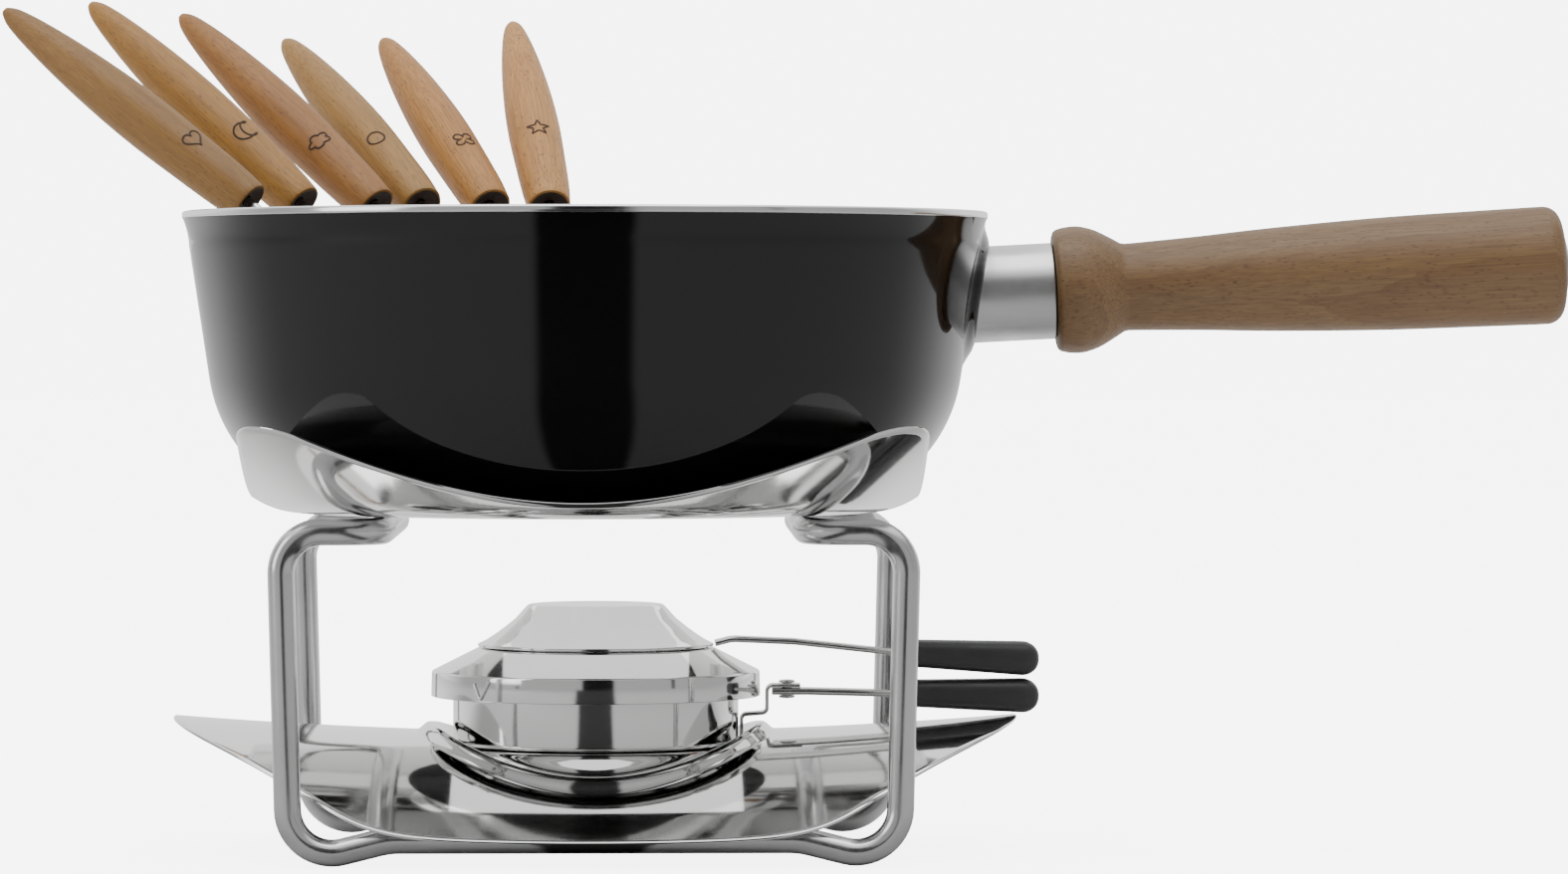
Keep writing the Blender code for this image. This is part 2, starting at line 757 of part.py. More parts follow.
def make_forks():
    """Six forks that lean on the rim, each a wooden handle on a steel fork."""
    hole = SHANK_R + FREE
    share = FORK_LENGTH / 105.0
    widest = FORK_HANDLE_R
    handle = [
        (0, FORK_LENGTH), (1.6, FORK_LENGTH - 1), (0.4 * widest, 100 * share), (0.61 * widest, 90 * share),
        (0.81 * widest, 75 * share), (0.95 * widest, 58 * share), (widest, 42 * share),
        (0.96 * widest, 25 * share), (FORK_END_R + 0.9, 10 * share), (FORK_END_R, 0.8),
        (FORK_END_R - 0.5, 0), (hole, 0), (hole, TANG + GAP), (0, TANG + GAP),
    ]
    steel_mesh = fork_steel()
    for name, setting in FORKS.items():
        place, turn = fork_frame(*setting)
        frame = make_frame(f"fork_{name}", place, turn, pot_frame)
        turned(f"fork_{name}_handle", handle, beech, frame, 12)
        shank = bpy.data.objects.new(f"fork_{name}_steel", steel_mesh)
        parts.objects.link(shank)
        shank.parent = frame


def centre_on_table():
    """Moves the set so that its box stands on the origin."""
    bpy.context.view_layer.update()
    graph = bpy.context.evaluated_depsgraph_get()
    corners = []
    for obj in parts.objects:
        if obj.type != "EMPTY":
            seen = obj.evaluated_get(graph)
            mesh = seen.to_mesh()
            corners.extend(seen.matrix_world @ vert.co for vert in mesh.vertices)
            seen.to_mesh_clear()
    low = [min(corner[axis] for corner in corners) for axis in range(3)]
    high = [max(corner[axis] for corner in corners) for axis in range(3)]
    root.location = (-(low[0] + high[0]) / 2, -(low[1] + high[1]) / 2, -low[2])
    bpy.context.view_layer.update()


clear_scene()
parts = make_collection("fondue_set")
cutters = make_collection("cutters")
cutters.hide_render = True

steel = make_material("steel_wire", (0.72, 0.72, 0.71), 0.22, 1.0)
polished = make_material("polished_steel", (0.80, 0.80, 0.79), 0.06, 1.0)
brushed = make_material("brushed_steel", (0.66, 0.66, 0.66), 0.32, 1.0)
tinplate = make_material("tinplate", (0.60, 0.60, 0.58), 0.35, 1.0)
enamel = make_material("black_enamel", (0.008, 0.008, 0.009), 0.08, 0.0)
soft_black = make_material("soft_black_grip", (0.025, 0.025, 0.027), 0.62, 0.0)
beech = make_material("beech", (0.55, 0.34, 0.19), 0.5, 0.0)

root = make_frame("table_point", (0, 0, 0))
pot_frame = make_frame("pot_axis", (POT_X, 0, 0), None, root)
burner = make_frame("burner_axis", (0, 0, 0), None, root)

handle_turn = Matrix.Rotation(math.radians(90 - HANDLE_TILT), 3, "Y")
handle_place = Vector((rim_radius() + HANDLE_OUT, 0, pot_base() + HANDLE_RISE))

make_stand()
make_support_plate()
make_tray()
make_burner()
make_burner_handles()
make_pot(handle_turn, handle_place)
make_pot_handle(handle_turn, handle_place)
make_forks()
centre_on_table()
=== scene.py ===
import json
import math

import bmesh
import bpy
from mathutils import Matrix, Vector


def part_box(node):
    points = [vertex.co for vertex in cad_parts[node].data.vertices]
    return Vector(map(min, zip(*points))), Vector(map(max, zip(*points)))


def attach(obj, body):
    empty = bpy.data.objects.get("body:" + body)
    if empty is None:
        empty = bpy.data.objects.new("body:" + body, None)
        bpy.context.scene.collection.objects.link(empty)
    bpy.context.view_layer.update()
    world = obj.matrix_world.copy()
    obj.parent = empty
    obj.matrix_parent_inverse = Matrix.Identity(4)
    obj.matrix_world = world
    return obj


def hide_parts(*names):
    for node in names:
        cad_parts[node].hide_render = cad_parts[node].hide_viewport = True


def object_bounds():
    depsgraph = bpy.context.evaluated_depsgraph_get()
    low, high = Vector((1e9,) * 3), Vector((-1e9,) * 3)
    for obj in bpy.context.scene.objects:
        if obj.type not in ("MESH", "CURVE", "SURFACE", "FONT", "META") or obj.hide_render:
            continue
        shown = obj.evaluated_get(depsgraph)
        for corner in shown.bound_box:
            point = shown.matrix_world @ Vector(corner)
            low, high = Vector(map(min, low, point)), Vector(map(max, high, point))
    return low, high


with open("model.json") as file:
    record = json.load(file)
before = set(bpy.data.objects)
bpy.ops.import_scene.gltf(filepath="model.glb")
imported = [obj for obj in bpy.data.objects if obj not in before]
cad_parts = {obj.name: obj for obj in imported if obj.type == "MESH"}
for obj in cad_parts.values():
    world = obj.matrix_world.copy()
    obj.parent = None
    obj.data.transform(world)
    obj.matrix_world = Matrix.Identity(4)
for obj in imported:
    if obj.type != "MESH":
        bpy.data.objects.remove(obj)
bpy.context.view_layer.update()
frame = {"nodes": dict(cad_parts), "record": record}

# Pieces are drawn in millimetres round the stand's middle, with heights above the table,
# and finishPiece puts them in place with onTable.
gap = 0.3
standTop = 102.0
standLow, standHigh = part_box("wire_stand")
standMid = (standLow + standHigh) / 2
onTable = Matrix.Translation((standMid.x, standMid.y, standHigh.z - standTop / 1000)) @ Matrix.Scale(0.001, 4)
offTable = onTable.inverted()
potMid = (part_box("pot_rim_ring")[0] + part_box("pot_rim_ring")[1]) / 2
potX = (offTable @ potMid).x
onPot = Matrix.Translation((potX, 0, 0))


def bendPath(corners, steps=6, closed=False):
    # a path through (point, bend radius) corners, each bend an arc
    path = []
    count = len(corners)
    for index, (corner, bend) in enumerate(corners):
        corner = Vector(corner)
        if bend == 0 or (not closed and index in (0, count - 1)):
            path.append(corner)
            continue
        before = (Vector(corners[index - 1][0]) - corner).normalized()
        after = (Vector(corners[(index + 1) % count][0]) - corner).normalized()
        half = before.angle(after) / 2
        middle = corner + (before + after).normalized() * bend / math.sin(half)
        start = corner + before * bend / math.tan(half) - middle
        end = corner + after * bend / math.tan(half) - middle
        sweep = math.pi - 2 * half
        for step in range(steps + 1):
            share = sweep * step / steps
            arm = start * math.sin(sweep - share) + end * math.sin(share)
            path.append(middle + arm / math.sin(sweep))
    return path


def smoothPath(points, steps=8):
    # a Catmull-Rom curve through the points
    points = [Vector(point) for point in points]
    ends = [2 * points[0] - points[1], *points, 2 * points[-1] - points[-2]]
    path = [points[0]]
    for index in range(1, len(ends) - 2):
        a, b, c, d = ends[index - 1:index + 3]
        for step in range(1, steps + 1):
            t = step / steps
            path.append(
                0.5 * (2 * b + (c - a) * t + (2 * a - 5 * b + 4 * c - d) * t * t
                       + (3 * b - a - 3 * c + d) * t ** 3)
            )
    return path


def evenPath(path, spacing):
    # the same path with extra points, none further apart than spacing
    even = [Vector(path[0])]
    for here, there in zip(path, path[1:]):
        run = Vector(there) - Vector(here)
        count = max(1, math.ceil(run.length / spacing))
        even += [Vector(here) + run * (step + 1) / count for step in range(count)]
    return even


def softStep(value, low, high):
    share = min(max((value - low) / (high - low), 0), 1)
    return share * share * (3 - 2 * share)


def turnsOf(sides):
    return [2 * math.pi * side / sides for side in range(sides)]


def circleOf(radius, turns, *height):
    # (x, y) points at these angles, or (x, y, z) points with a height
    return [(radius * math.cos(turn), radius * math.sin(turn), *height) for turn in turns]


def startMesh():
    mesh = bmesh.new()
    mesh.verts.layers.float_vector.new("grain")
    return mesh


def loftRings(mesh, rings, place=None, closed=False):
    # joins rings of equal count, where a ring of one point is a pole; grain keeps the undisturbed place
    layer = mesh.verts.layers.float_vector["grain"]
    made = []
    for ring in rings:
        verts = []
        for point in ring:
            vert = mesh.verts.new(place @ Vector(point) if place else point)
            vert[layer] = Vector(point)
            verts.append(vert)
        made.append(verts)
    pairs = list(zip(made, made[1:]))
    if closed:
        pairs.append((made[-1], made[0]))
    faces = []
    for inner, outer in pairs:
        count = max(len(inner), len(outer))
        for side in range(count):
            after = (side + 1) % count
            if len(inner) == 1:
                corners = (inner[0], outer[side], outer[after])
            elif len(outer) == 1:
                corners = (inner[side], outer[0], inner[after])
            else:
                corners = (inner[side], outer[side], outer[after], inner[after])
            faces.append(mesh.faces.new(corners))
    return faces


def turnOutline(mesh, outline, sides, place=None, closed=False):
    # turns (radius, height) points round Z
    rings = []
    for radius, height in outline:
        if radius < 1e-4:
            rings.append([(0, 0, height)])
            continue
        rings.append(circleOf(radius, turnsOf(sides), height))
    return loftRings(mesh, rings, place, closed)


def sweepSection(mesh, path, section, sideways=None, place=None):
    # carries section(share), a list of (across, up) points, along the path and closes both ends
    path = [Vector(point) for point in path]
    across = Vector(sideways) if sideways else (path[1] - path[0]).orthogonal()
    rings = [[path[0]]]
    for index, here in enumerate(path):
        ahead = (path[min(index + 1, len(path) - 1)] - path[max(index - 1, 0)]).normalized()
        across = (across - ahead * across.dot(ahead)).normalized()
        up = ahead.cross(across)
        rings.append([here + across * a + up * b for a, b in section(index / (len(path) - 1))])
    rings.append([path[-1]])
    return loftRings(mesh, rings, place)


def roundedSection(width, height, corner, steps=3):
    # a rectangle with rounded corners, as (across, up) points
    x = width / 2
    y = height / 2
    corners = [((x, -y), corner), ((x, y), corner), ((-x, y), corner), ((-x, -y), corner)]
    return [tuple(point) for point in bendPath(corners, steps, closed=True)]


def finishPiece(name, mesh, materials, body, replaced, sharpAngle=35):
    # closes, faces outwards, puts in place and hands the piece to its body
    bmesh.ops.remove_doubles(mesh, verts=mesh.verts, dist=1e-4)
    bmesh.ops.recalc_face_normals(mesh, faces=mesh.faces)
    data = bpy.data.meshes.new(name)
    mesh.to_mesh(data)
    mesh.free()
    data.transform(onTable)
    data.shade_smooth()
    data.set_sharp_from_angle(angle=math.radians(sharpAngle))
    return placePiece(name, data, materials, body, replaced)


def placePiece(name, data, materials, body, replaced):
    piece = bpy.data.objects.new(name, data)
    bpy.context.scene.collection.objects.link(piece)
    if not data.materials:
        for material in materials:
            data.materials.append(material)
    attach(piece, body)
    if replaced:
        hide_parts(*replaced)
    return piece


def addNode(tree, kind, values=None, **settings):
    # a node with its settings, and its inputs given as values or as sockets to link
    node = tree.nodes.new(kind)
    for key, value in settings.items():
        setattr(node, key, value)
    for key, value in (values or {}).items():
        if isinstance(value, bpy.types.NodeSocket):
            tree.links.new(value, node.inputs[key])
        else:
            node.inputs[key].default_value = value
    return node


def bentWireTree():
    # edges of a mesh become round wire
    tree = bpy.data.node_groups.new("bentWire", "GeometryNodeTree")
    tree.interface.new_socket("Geometry", in_out="INPUT", socket_type="NodeSocketGeometry")
    tree.interface.new_socket("Wire Radius", in_out="INPUT", socket_type="NodeSocketFloat")
    tree.interface.new_socket("Sides", in_out="INPUT", socket_type="NodeSocketInt")
    tree.interface.new_socket("Finish", in_out="INPUT", socket_type="NodeSocketMaterial")
    tree.interface.new_socket("Geometry", in_out="OUTPUT", socket_type="NodeSocketGeometry")
    given = addNode(tree, "NodeGroupInput").outputs
    route = addNode(tree, "GeometryNodeMeshToCurve", {"Mesh": given["Geometry"]})
    section = addNode(tree, "GeometryNodeCurvePrimitiveCircle", {
        "Radius": given["Wire Radius"], "Resolution": given["Sides"],
    })
    wire = addNode(tree, "GeometryNodeCurveToMesh", {
        "Curve": route.outputs["Curve"], "Profile Curve": section.outputs["Curve"], "Fill Caps": True,
    })
    smooth = addNode(tree, "GeometryNodeSetShadeSmooth", {"Geometry": wire.outputs["Mesh"]})
    real = addNode(tree, "GeometryNodeRealizeInstances", {"Geometry": smooth.outputs["Geometry"]})
    finish = addNode(tree, "GeometryNodeSetMaterial", {
        "Geometry": real.outputs["Geometry"], "Material": given["Finish"],
    })
    addNode(tree, "NodeGroupOutput", {"Geometry": finish.outputs["Geometry"]})
    return tree


def runNodes(name, tree, paths, inputs):
    # runs a tree on paths of (points, closed) in millimetres and gives back its plain mesh
    lines = bpy.data.meshes.new(name)
    verts = []
    edges = []
    for points, closed in paths:
        first = len(verts)
        verts += [onTable @ Vector(point) for point in points]
        edges += [(first + index, first + index + 1) for index in range(len(points) - 1)]
        if closed:
            edges.append((len(verts) - 1, first))
    lines.from_pydata(verts, edges, [])
    holder = bpy.data.objects.new(name + "Lines", lines)
    bpy.context.scene.collection.objects.link(holder)
    modifier = holder.modifiers.new("nodes", "NODES")
    modifier.node_group = tree
    for socket in tree.interface.items_tree:
        if socket.in_out == "INPUT" and socket.name in inputs:
            modifier[socket.identifier] = inputs[socket.name]
    graph = bpy.context.evaluated_depsgraph_get()
    data = bpy.data.meshes.new_from_object(holder.evaluated_get(graph))
    holder.modifiers.remove(modifier)
    bpy.data.objects.remove(holder, do_unlink=True)
    data.name = name
    return data


bentWire = bentWireTree()


def newMaterial(name):
    material = bpy.data.materials.new(name)
    material.use_nodes = True
    tree = material.node_tree
    return material, tree, tree.nodes["Principled BSDF"]


def setShader(shader, values):
    for key, value in values.items():
        shader.inputs[key].default_value = value


def mixColors(tree, factor, first, second):
    # a colour between two, each given as a tuple or a socket
    mixed = addNode(tree, "ShaderNodeMix", data_type="RGBA")
    for index, value in ((0, factor), (6, first), (7, second)):
        if isinstance(value, bpy.types.NodeSocket):
            tree.links.new(value, mixed.inputs[index])
        elif isinstance(value, tuple):
            mixed.inputs[index].default_value = (*value, 1)
        else:
            mixed.inputs[index].default_value = value
    return mixed.outputs[2]


def stretched(tree, source, scale, offset=(0, 0, 0)):
    mapping = addNode(tree, "ShaderNodeMapping", {"Vector": source, "Scale": scale, "Location": offset})
    return mapping.outputs["Vector"]


def noiseOf(tree, vector, scale, detail=2.0, roughness=0.5):
    return addNode(tree, "ShaderNodeTexNoise", {
        "Vector": vector, "Scale": scale, "Detail": detail, "Roughness": roughness,
    }).outputs["Fac"]


def mathOf(tree, operation, *values):
    return addNode(tree, "ShaderNodeMath", dict(enumerate(values)), operation=operation).outputs[0]


def blendOf(tree, share, first, second):
    return addNode(tree, "ShaderNodeMix", {0: share, 2: first, 3: second}, data_type="FLOAT").outputs[0]


def mapValue(tree, value, fromLow, fromHigh, toLow, toHigh, smooth=False):
    return addNode(tree, "ShaderNodeMapRange", {
        "Value": value, "From Min": fromLow, "From Max": fromHigh, "To Min": toLow, "To Max": toHigh,
    }, interpolation_type="SMOOTHSTEP" if smooth else "LINEAR").outputs["Result"]


def addBump(tree, shader, height, strength, distance):
    bump = addNode(tree, "ShaderNodeBump", {"Height": height, "Strength": strength, "Distance": distance})
    tree.links.new(bump.outputs["Normal"], shader.inputs["Normal"])


def steelFinish(name, look):
    # polished or brushed steel: cloudy shine, fine marks along one direction
    material, tree, shader = newMaterial(name)
    setShader(shader, {"Metallic": 1.0, "Anisotropic": look.get("anisotropic", 0.0)})
    where = addNode(tree, "ShaderNodeTexCoord").outputs["Object"]
    if look.get("alongPiece"):
        where = addNode(tree, "ShaderNodeAttribute", attribute_name="grain").outputs["Vector"]
    cloud = noiseOf(tree, where, look["cloudScale"], 3.0)
    marks = noiseOf(tree, stretched(tree, where, look["markStretch"]), look["markScale"], 4.0, 0.6)
    dark = tuple(channel * look["dim"] for channel in look["color"])
    tint = mixColors(tree, mapValue(tree, cloud, 0.3, 0.7, 0, 1), dark, look["color"])
    tree.links.new(tint, shader.inputs["Base Color"])
    shine = mapValue(tree, cloud, 0.3, 0.7, look["roughness"][0], look["roughness"][1])
    worn = mathOf(tree, "ADD", shine, mapValue(tree, marks, 0.35, 0.75, 0, look["markRoughness"]))
    tree.links.new(worn, shader.inputs["Roughness"])
    addBump(tree, shader, marks, look["bump"], look["bumpDepth"])
    return material


steelLooks = {
    "standWireSteel": {
        "color": (0.66, 0.66, 0.66), "dim": 0.86, "roughness": (0.16, 0.23), "cloudScale": 40.0,
        "markScale": 900.0, "markStretch": (1, 1, 0.1), "markRoughness": 0.05, "bump": 0.05, "bumpDepth": 0.00005,
    },
    "sheetSteel": {
        "color": (0.80, 0.80, 0.795), "dim": 0.93, "roughness": (0.03, 0.07), "cloudScale": 14.0,
        "markScale": 500.0, "markStretch": (0.1, 1, 1), "markRoughness": 0.03, "bump": 0.03, "bumpDepth": 0.00004,
    },
    "burnerSteel": {
        "color": (0.80, 0.80, 0.795), "dim": 0.94, "roughness": (0.04, 0.08), "cloudScale": 25.0,
        "markScale": 900.0, "markStretch": (0.25, 0.25, 1), "markRoughness": 0.04, "bump": 0.04, "bumpDepth": 0.00004,
    },
    "stripSteel": {
        "color": (0.68, 0.68, 0.67), "dim": 0.88, "roughness": (0.12, 0.20), "cloudScale": 60.0,
        "markScale": 1200.0, "markStretch": (0.08, 1, 1), "markRoughness": 0.08, "bump": 0.08, "bumpDepth": 0.00005,
    },
    "rimSteel": {
        "color": (0.78, 0.78, 0.78), "dim": 0.92, "roughness": (0.10, 0.16), "cloudScale": 30.0,
        "markScale": 900.0, "markStretch": (1, 1, 1), "markRoughness": 0.04, "bump": 0.03, "bumpDepth": 0.00004,
    },
    "brushedSteel": {
        "color": (0.64, 0.64, 0.64), "dim": 0.90, "roughness": (0.27, 0.33), "cloudScale": 0.05,
        "markScale": 1.0, "markStretch": (0.05, 0.05, 7.0), "markRoughness": 0.10, "bump": 0.25,
        "bumpDepth": 0.0001, "alongPiece": True, "anisotropic": 0.6,
    },
    "screwSteel": {
        "color": (0.55, 0.55, 0.55), "dim": 0.85, "roughness": (0.22, 0.32), "cloudScale": 120.0,
        "markScale": 1500.0, "markStretch": (1, 1, 1), "markRoughness": 0.08, "bump": 0.08, "bumpDepth": 0.00005,
    },
    "forkSteel": {
        "color": (0.72, 0.72, 0.71), "dim": 0.9, "roughness": (0.08, 0.15), "cloudScale": 50.0,
        "markScale": 900.0, "markStretch": (1, 1, 0.3), "markRoughness": 0.05, "bump": 0.04, "bumpDepth": 0.00004,
    },
    "tinplate": {
        "color": (0.58, 0.58, 0.56), "dim": 0.8, "roughness": (0.28, 0.42), "cloudScale": 60.0,
        "markScale": 600.0, "markStretch": (1, 1, 1), "markRoughness": 0.1, "bump": 0.1, "bumpDepth": 0.0001,
    },
}
steel = {name: steelFinish(name, look) for name, look in steelLooks.items()}


def enamelFinish():
    # black gloss enamel: a faint ripple from the firing and a cloudy change of tone
    material, tree, shader = newMaterial("blackEnamel")
    setShader(shader, {"Metallic": 0.0, "Specular IOR Level": 0.45})
    where = addNode(tree, "ShaderNodeTexCoord").outputs["Object"]
    cloud = noiseOf(tree, where, 22.0, 3.0)
    tint = mixColors(tree, cloud, (0.0012, 0.0012, 0.0013), (0.0026, 0.0026, 0.0027))
    tree.links.new(tint, shader.inputs["Base Color"])
    tree.links.new(mapValue(tree, cloud, 0.3, 0.7, 0.05, 0.085), shader.inputs["Roughness"])
    ripple = noiseOf(tree, where, 70.0, 1.0)
    addBump(tree, shader, ripple, 0.12, 0.00008)
    return material


def gripFinish():
    # soft black moulding: fine grain and a cloudy change of tone
    material, tree, shader = newMaterial("softBlackGrip")
    where = addNode(tree, "ShaderNodeTexCoord").outputs["Object"]
    cloud = noiseOf(tree, where, 90.0, 3.0)
    grain = noiseOf(tree, where, 3500.0, 2.0)
    tint = mixColors(tree, cloud, (0.016, 0.016, 0.017), (0.030, 0.030, 0.031))
    tree.links.new(tint, shader.inputs["Base Color"])
    tree.links.new(mapValue(tree, cloud, 0.3, 0.7, 0.42, 0.56), shader.inputs["Roughness"])
    addBump(tree, shader, grain, 0.25, 0.00006)
    return material


def scorchAndHollowShadeFinish():
    # the scorched lines of the wooden handles, and the dark hollows at the forks' steel ends: darker end grain with
    # painted shade
    material, tree, shader = newMaterial("scorchAndHollowShade")
    where = addNode(tree, "ShaderNodeTexCoord").outputs["Object"]
    char = noiseOf(tree, where, 900.0, 3.0)
    tint = mixColors(tree, char, (0.020, 0.010, 0.006), (0.075, 0.036, 0.018))
    tree.links.new(tint, shader.inputs["Base Color"])
    tree.links.new(mapValue(tree, char, 0.3, 0.7, 0.6, 0.8), shader.inputs["Roughness"])
    addBump(tree, shader, char, 0.3, 0.0001)
    return material


def pasteFinish():
    # pale violet-white burner paste
    material, tree, shader = newMaterial("burnerPaste")
    setShader(shader, {"Subsurface Weight": 0.2, "Subsurface Scale": 0.002})
    where = addNode(tree, "ShaderNodeTexCoord").outputs["Object"]
    lumps = noiseOf(tree, where, 180.0, 4.0)
    tint = mixColors(tree, lumps, (0.50, 0.48, 0.55), (0.62, 0.60, 0.66))
    tree.links.new(tint, shader.inputs["Base Color"])
    tree.links.new(mapValue(tree, lumps, 0.3, 0.7, 0.25, 0.45), shader.inputs["Roughness"])
    addBump(tree, shader, lumps, 0.6, 0.0006)
    return material


def woodFinish(name, look):
    # oiled beech in the piece's own millimetres, grain along its axis
    material, tree, shader = newMaterial(name)
    grain = addNode(tree, "ShaderNodeAttribute", attribute_name="grain").outputs["Vector"]
    shift = look["shift"]
    moved = stretched(tree, grain, (1, 1, 1), (shift * 17.3, shift * 9.1, shift * 53.0))
    # growth bands round a pith line that runs beside the piece and slants through it
    pith = stretched(tree, grain, (1, 1, look["slant"]), (*look["pith"], look["slantStart"]))
    waver = noiseOf(tree, stretched(tree, moved, (0.10, 0.10, 0.018)), 1.0, 3.0)
    distance = addNode(tree, "ShaderNodeVectorMath", {0: pith}, operation="LENGTH").outputs["Value"]
    wavy = mathOf(tree, "MULTIPLY_ADD", waver, look["waver"], distance)
    phase = mathOf(tree, "FRACT", mathOf(tree, "MULTIPLY", wavy, look["bands"]))
    band = mathOf(tree, "POWER", phase, 0.6)
    # long fibres, short dark flecks and a broad change of tone
    fibre = noiseOf(tree, stretched(tree, moved, (2.6, 2.6, 0.05)), 1.0, 5.0, 0.62)
    tone = noiseOf(tree, stretched(tree, moved, (0.06, 0.06, 0.02)), 1.0, 2.0)
    spots = addNode(tree, "ShaderNodeTexVoronoi", {
        "Vector": stretched(tree, moved, (1.25, 1.25, 0.30)), "Scale": 1.0, "Randomness": 1.0,
    }).outputs["Distance"]
    patch = noiseOf(tree, stretched(tree, moved, (0.5, 0.5, 0.09)), 1.0, 1.0)
    here = mapValue(tree, patch, 0.40, 0.56, 0.25, 1)
    fleck = mathOf(tree, "MULTIPLY", mapValue(tree, spots, 0.13, 0.30, 1, 0), here)
    base = mixColors(tree, mapValue(tree, tone, 0.3, 0.7, 0, 1), look["deep"], look["light"])
    banded = mixColors(tree, mapValue(tree, band, 0, 1, 0, look["bandDepth"]), base, look["band"])
    lined = mixColors(tree, mapValue(tree, fibre, 0.38, 0.70, 0, 0.6), banded, look["fleck"])
    flecked = mixColors(tree, mathOf(tree, "MULTIPLY", fleck, look["fleckDepth"]), lined, look["fleck"])
    tree.links.new(flecked, shader.inputs["Base Color"])
    tree.links.new(mapValue(tree, fibre, 0.3, 0.7, 0.44, 0.58), shader.inputs["Roughness"])
    addBump(tree, shader, mathOf(tree, "MULTIPLY_ADD", fleck, -0.5, fibre), 0.25, 0.00012)
    return material


blackEnamel = enamelFinish()
softGrip = gripFinish()
scorchAndHollowShade = scorchAndHollowShadeFinish()
burnerPaste = pasteFinish()
print("finishes ready")


stand = {
    "wireRadius": 4.0, "wireSides": 32, "bendSteps": 14, "frontY": 62.0, "topBarX": 62.0, "legTopX": 91.5,
    "legFootX": 89.0, "floorBarX": 60.0, "floorBarZ": 8.0, "footSlope": 0.25, "topBend": 12.0, "footBend": 13.0,
}


def buildStand():
    top = standTop - stand["wireRadius"]
    footZ = stand["floorBarZ"] - stand["footSlope"] * (stand["legFootX"] - stand["floorBarX"])
    y = stand["frontY"]
    quarter = [
        ((stand["floorBarX"], -y, stand["floorBarZ"]), 2 * stand["footBend"]),
        ((stand["legFootX"], -y, footZ), stand["footBend"]),
        ((stand["legTopX"], -y, top), stand["topBend"]),
        ((stand["topBarX"], -y, top), stand["topBend"]),
    ]
    rightBack = [((x, -y, z), bend) for (x, y, z), bend in reversed(quarter)]
    leftBack = [((-x, -y, z), bend) for (x, y, z), bend in quarter]
    leftFront = [((-x, y, z), bend) for (x, y, z), bend in reversed(quarter)]
    path = bendPath(quarter + rightBack + leftBack + leftFront, stand["bendSteps"], closed=True)
    data = runNodes("wireStand", bentWire, [(path, True)], {
        "Wire Radius": stand["wireRadius"] / 1000, "Sides": stand["wireSides"], "Finish": steel["standWireSteel"],
    })
    placePiece("wireStand", data, [], "stand", ["wire_stand"])


buildStand()
print("stand ready")


plate = {
    "sheet": 1.0, "half": 100.0, "cornerRadius": 20.0, "holeRadius": 52.0, "dishStart": 87.0, "dishEnd": 100.0,
    "dishSlope": 0.66, "sides": 320, "edgeRound": 0.3,
}


def dishRise(radius):
    bend = plate["dishEnd"] - plate["dishStart"]
    if radius <= plate["dishStart"]:
        return 0.0
    if radius <= plate["dishEnd"]:
        return plate["dishSlope"] * (radius - plate["dishStart"]) ** 2 / (2 * bend)
    return plate["dishSlope"] * (bend / 2 + radius - plate["dishEnd"])


def squareReach(angle):
    # distance from the middle to the edge of the rounded square
    across = abs(math.cos(angle))
    along = abs(math.sin(angle))
    half = plate["half"]
    corner = half - plate["cornerRadius"]
    big = max(across, along)
    small = min(across, along)
    if half * small / big <= corner:
        return half / big
    toward = corner * (across + along)
    return toward + math.sqrt(toward ** 2 - 2 * corner ** 2 + plate["cornerRadius"] ** 2)


def sheetRings(reach, height, inner, sheet, edgeRound, sides, steps, spread=1.0):
    # rings of a bent sheet: over its top from the inner edge out, round its edge and back underneath
    top = []
    under = []
    for step in range(steps + 1):
        upper = []
        lower = []
        for side in range(sides):
            angle = 2 * math.pi * side / sides
            end = reach(angle) - edgeRound
            radius = inner + (end - inner) * (step / steps) ** spread
            x = radius * math.cos(angle)
            y = radius * math.sin(angle)
            upper.append((x, y, height(x, y)))
            lower.append((x, y, height(x, y) - sheet))
        top.append(upper)
        under.append(lower)
    edge = []
    for level in (0.22, 0.5, 0.78):
        ring = []
        for side in range(sides):
            angle = 2 * math.pi * side / sides
            radius = reach(angle) - (edgeRound * 0.3 if level != 0.5 else 0)
            x = radius * math.cos(angle)
            y = radius * math.sin(angle)
            ring.append((x, y, height(x, y) - sheet * level))
        edge.append(ring)
    return top + edge + list(reversed(under))


def buildPlate():
    mesh = startMesh()
    bottom = standTop + gap
    rings = sheetRings(
        squareReach, lambda x, y: bottom + plate["sheet"] + dishRise(math.hypot(x, y)),
        plate["holeRadius"] + plate["edgeRound"], plate["sheet"], plate["edgeRound"], plate["sides"], 30, 0.8,
    )
    lip = circleOf(plate["holeRadius"], turnsOf(plate["sides"]), bottom + plate["sheet"] / 2)
    loftRings(mesh, rings + [lip], onPot, closed=True)
    finishPiece("supportPlate", mesh, [steel["sheetSteel"]], "plate", ["pot_support_plate"])


buildPlate()
print("support plate ready")


tray = {
    "sheet": 1.0, "halfLength": 127.0, "ovalHalf": 82.0, "flankTurn": 50.8, "legClear": 1.1, "edgeOut": 9.0,
    "tipRise": 5.2, "archRadius": 102.4, "seatDrop": 3.8, "lip": 2.4, "sides": 360, "edgeRound": 0.3,
}
cup = {"radius": 43.0, "height": 24.2, "wall": 0.8, "seatOut": 1.5, "tinHeight": 18.0}
trayLean = math.asin(stand["frontY"] / tray["archRadius"])
overBar = stand["floorBarZ"] + (stand["wireRadius"] + gap + tray["sheet"]) / math.cos(trayLean)
trayCrest = overBar + tray["archRadius"] * (1 - math.cos(trayLean))
seatZ = trayCrest - tray["seatDrop"]


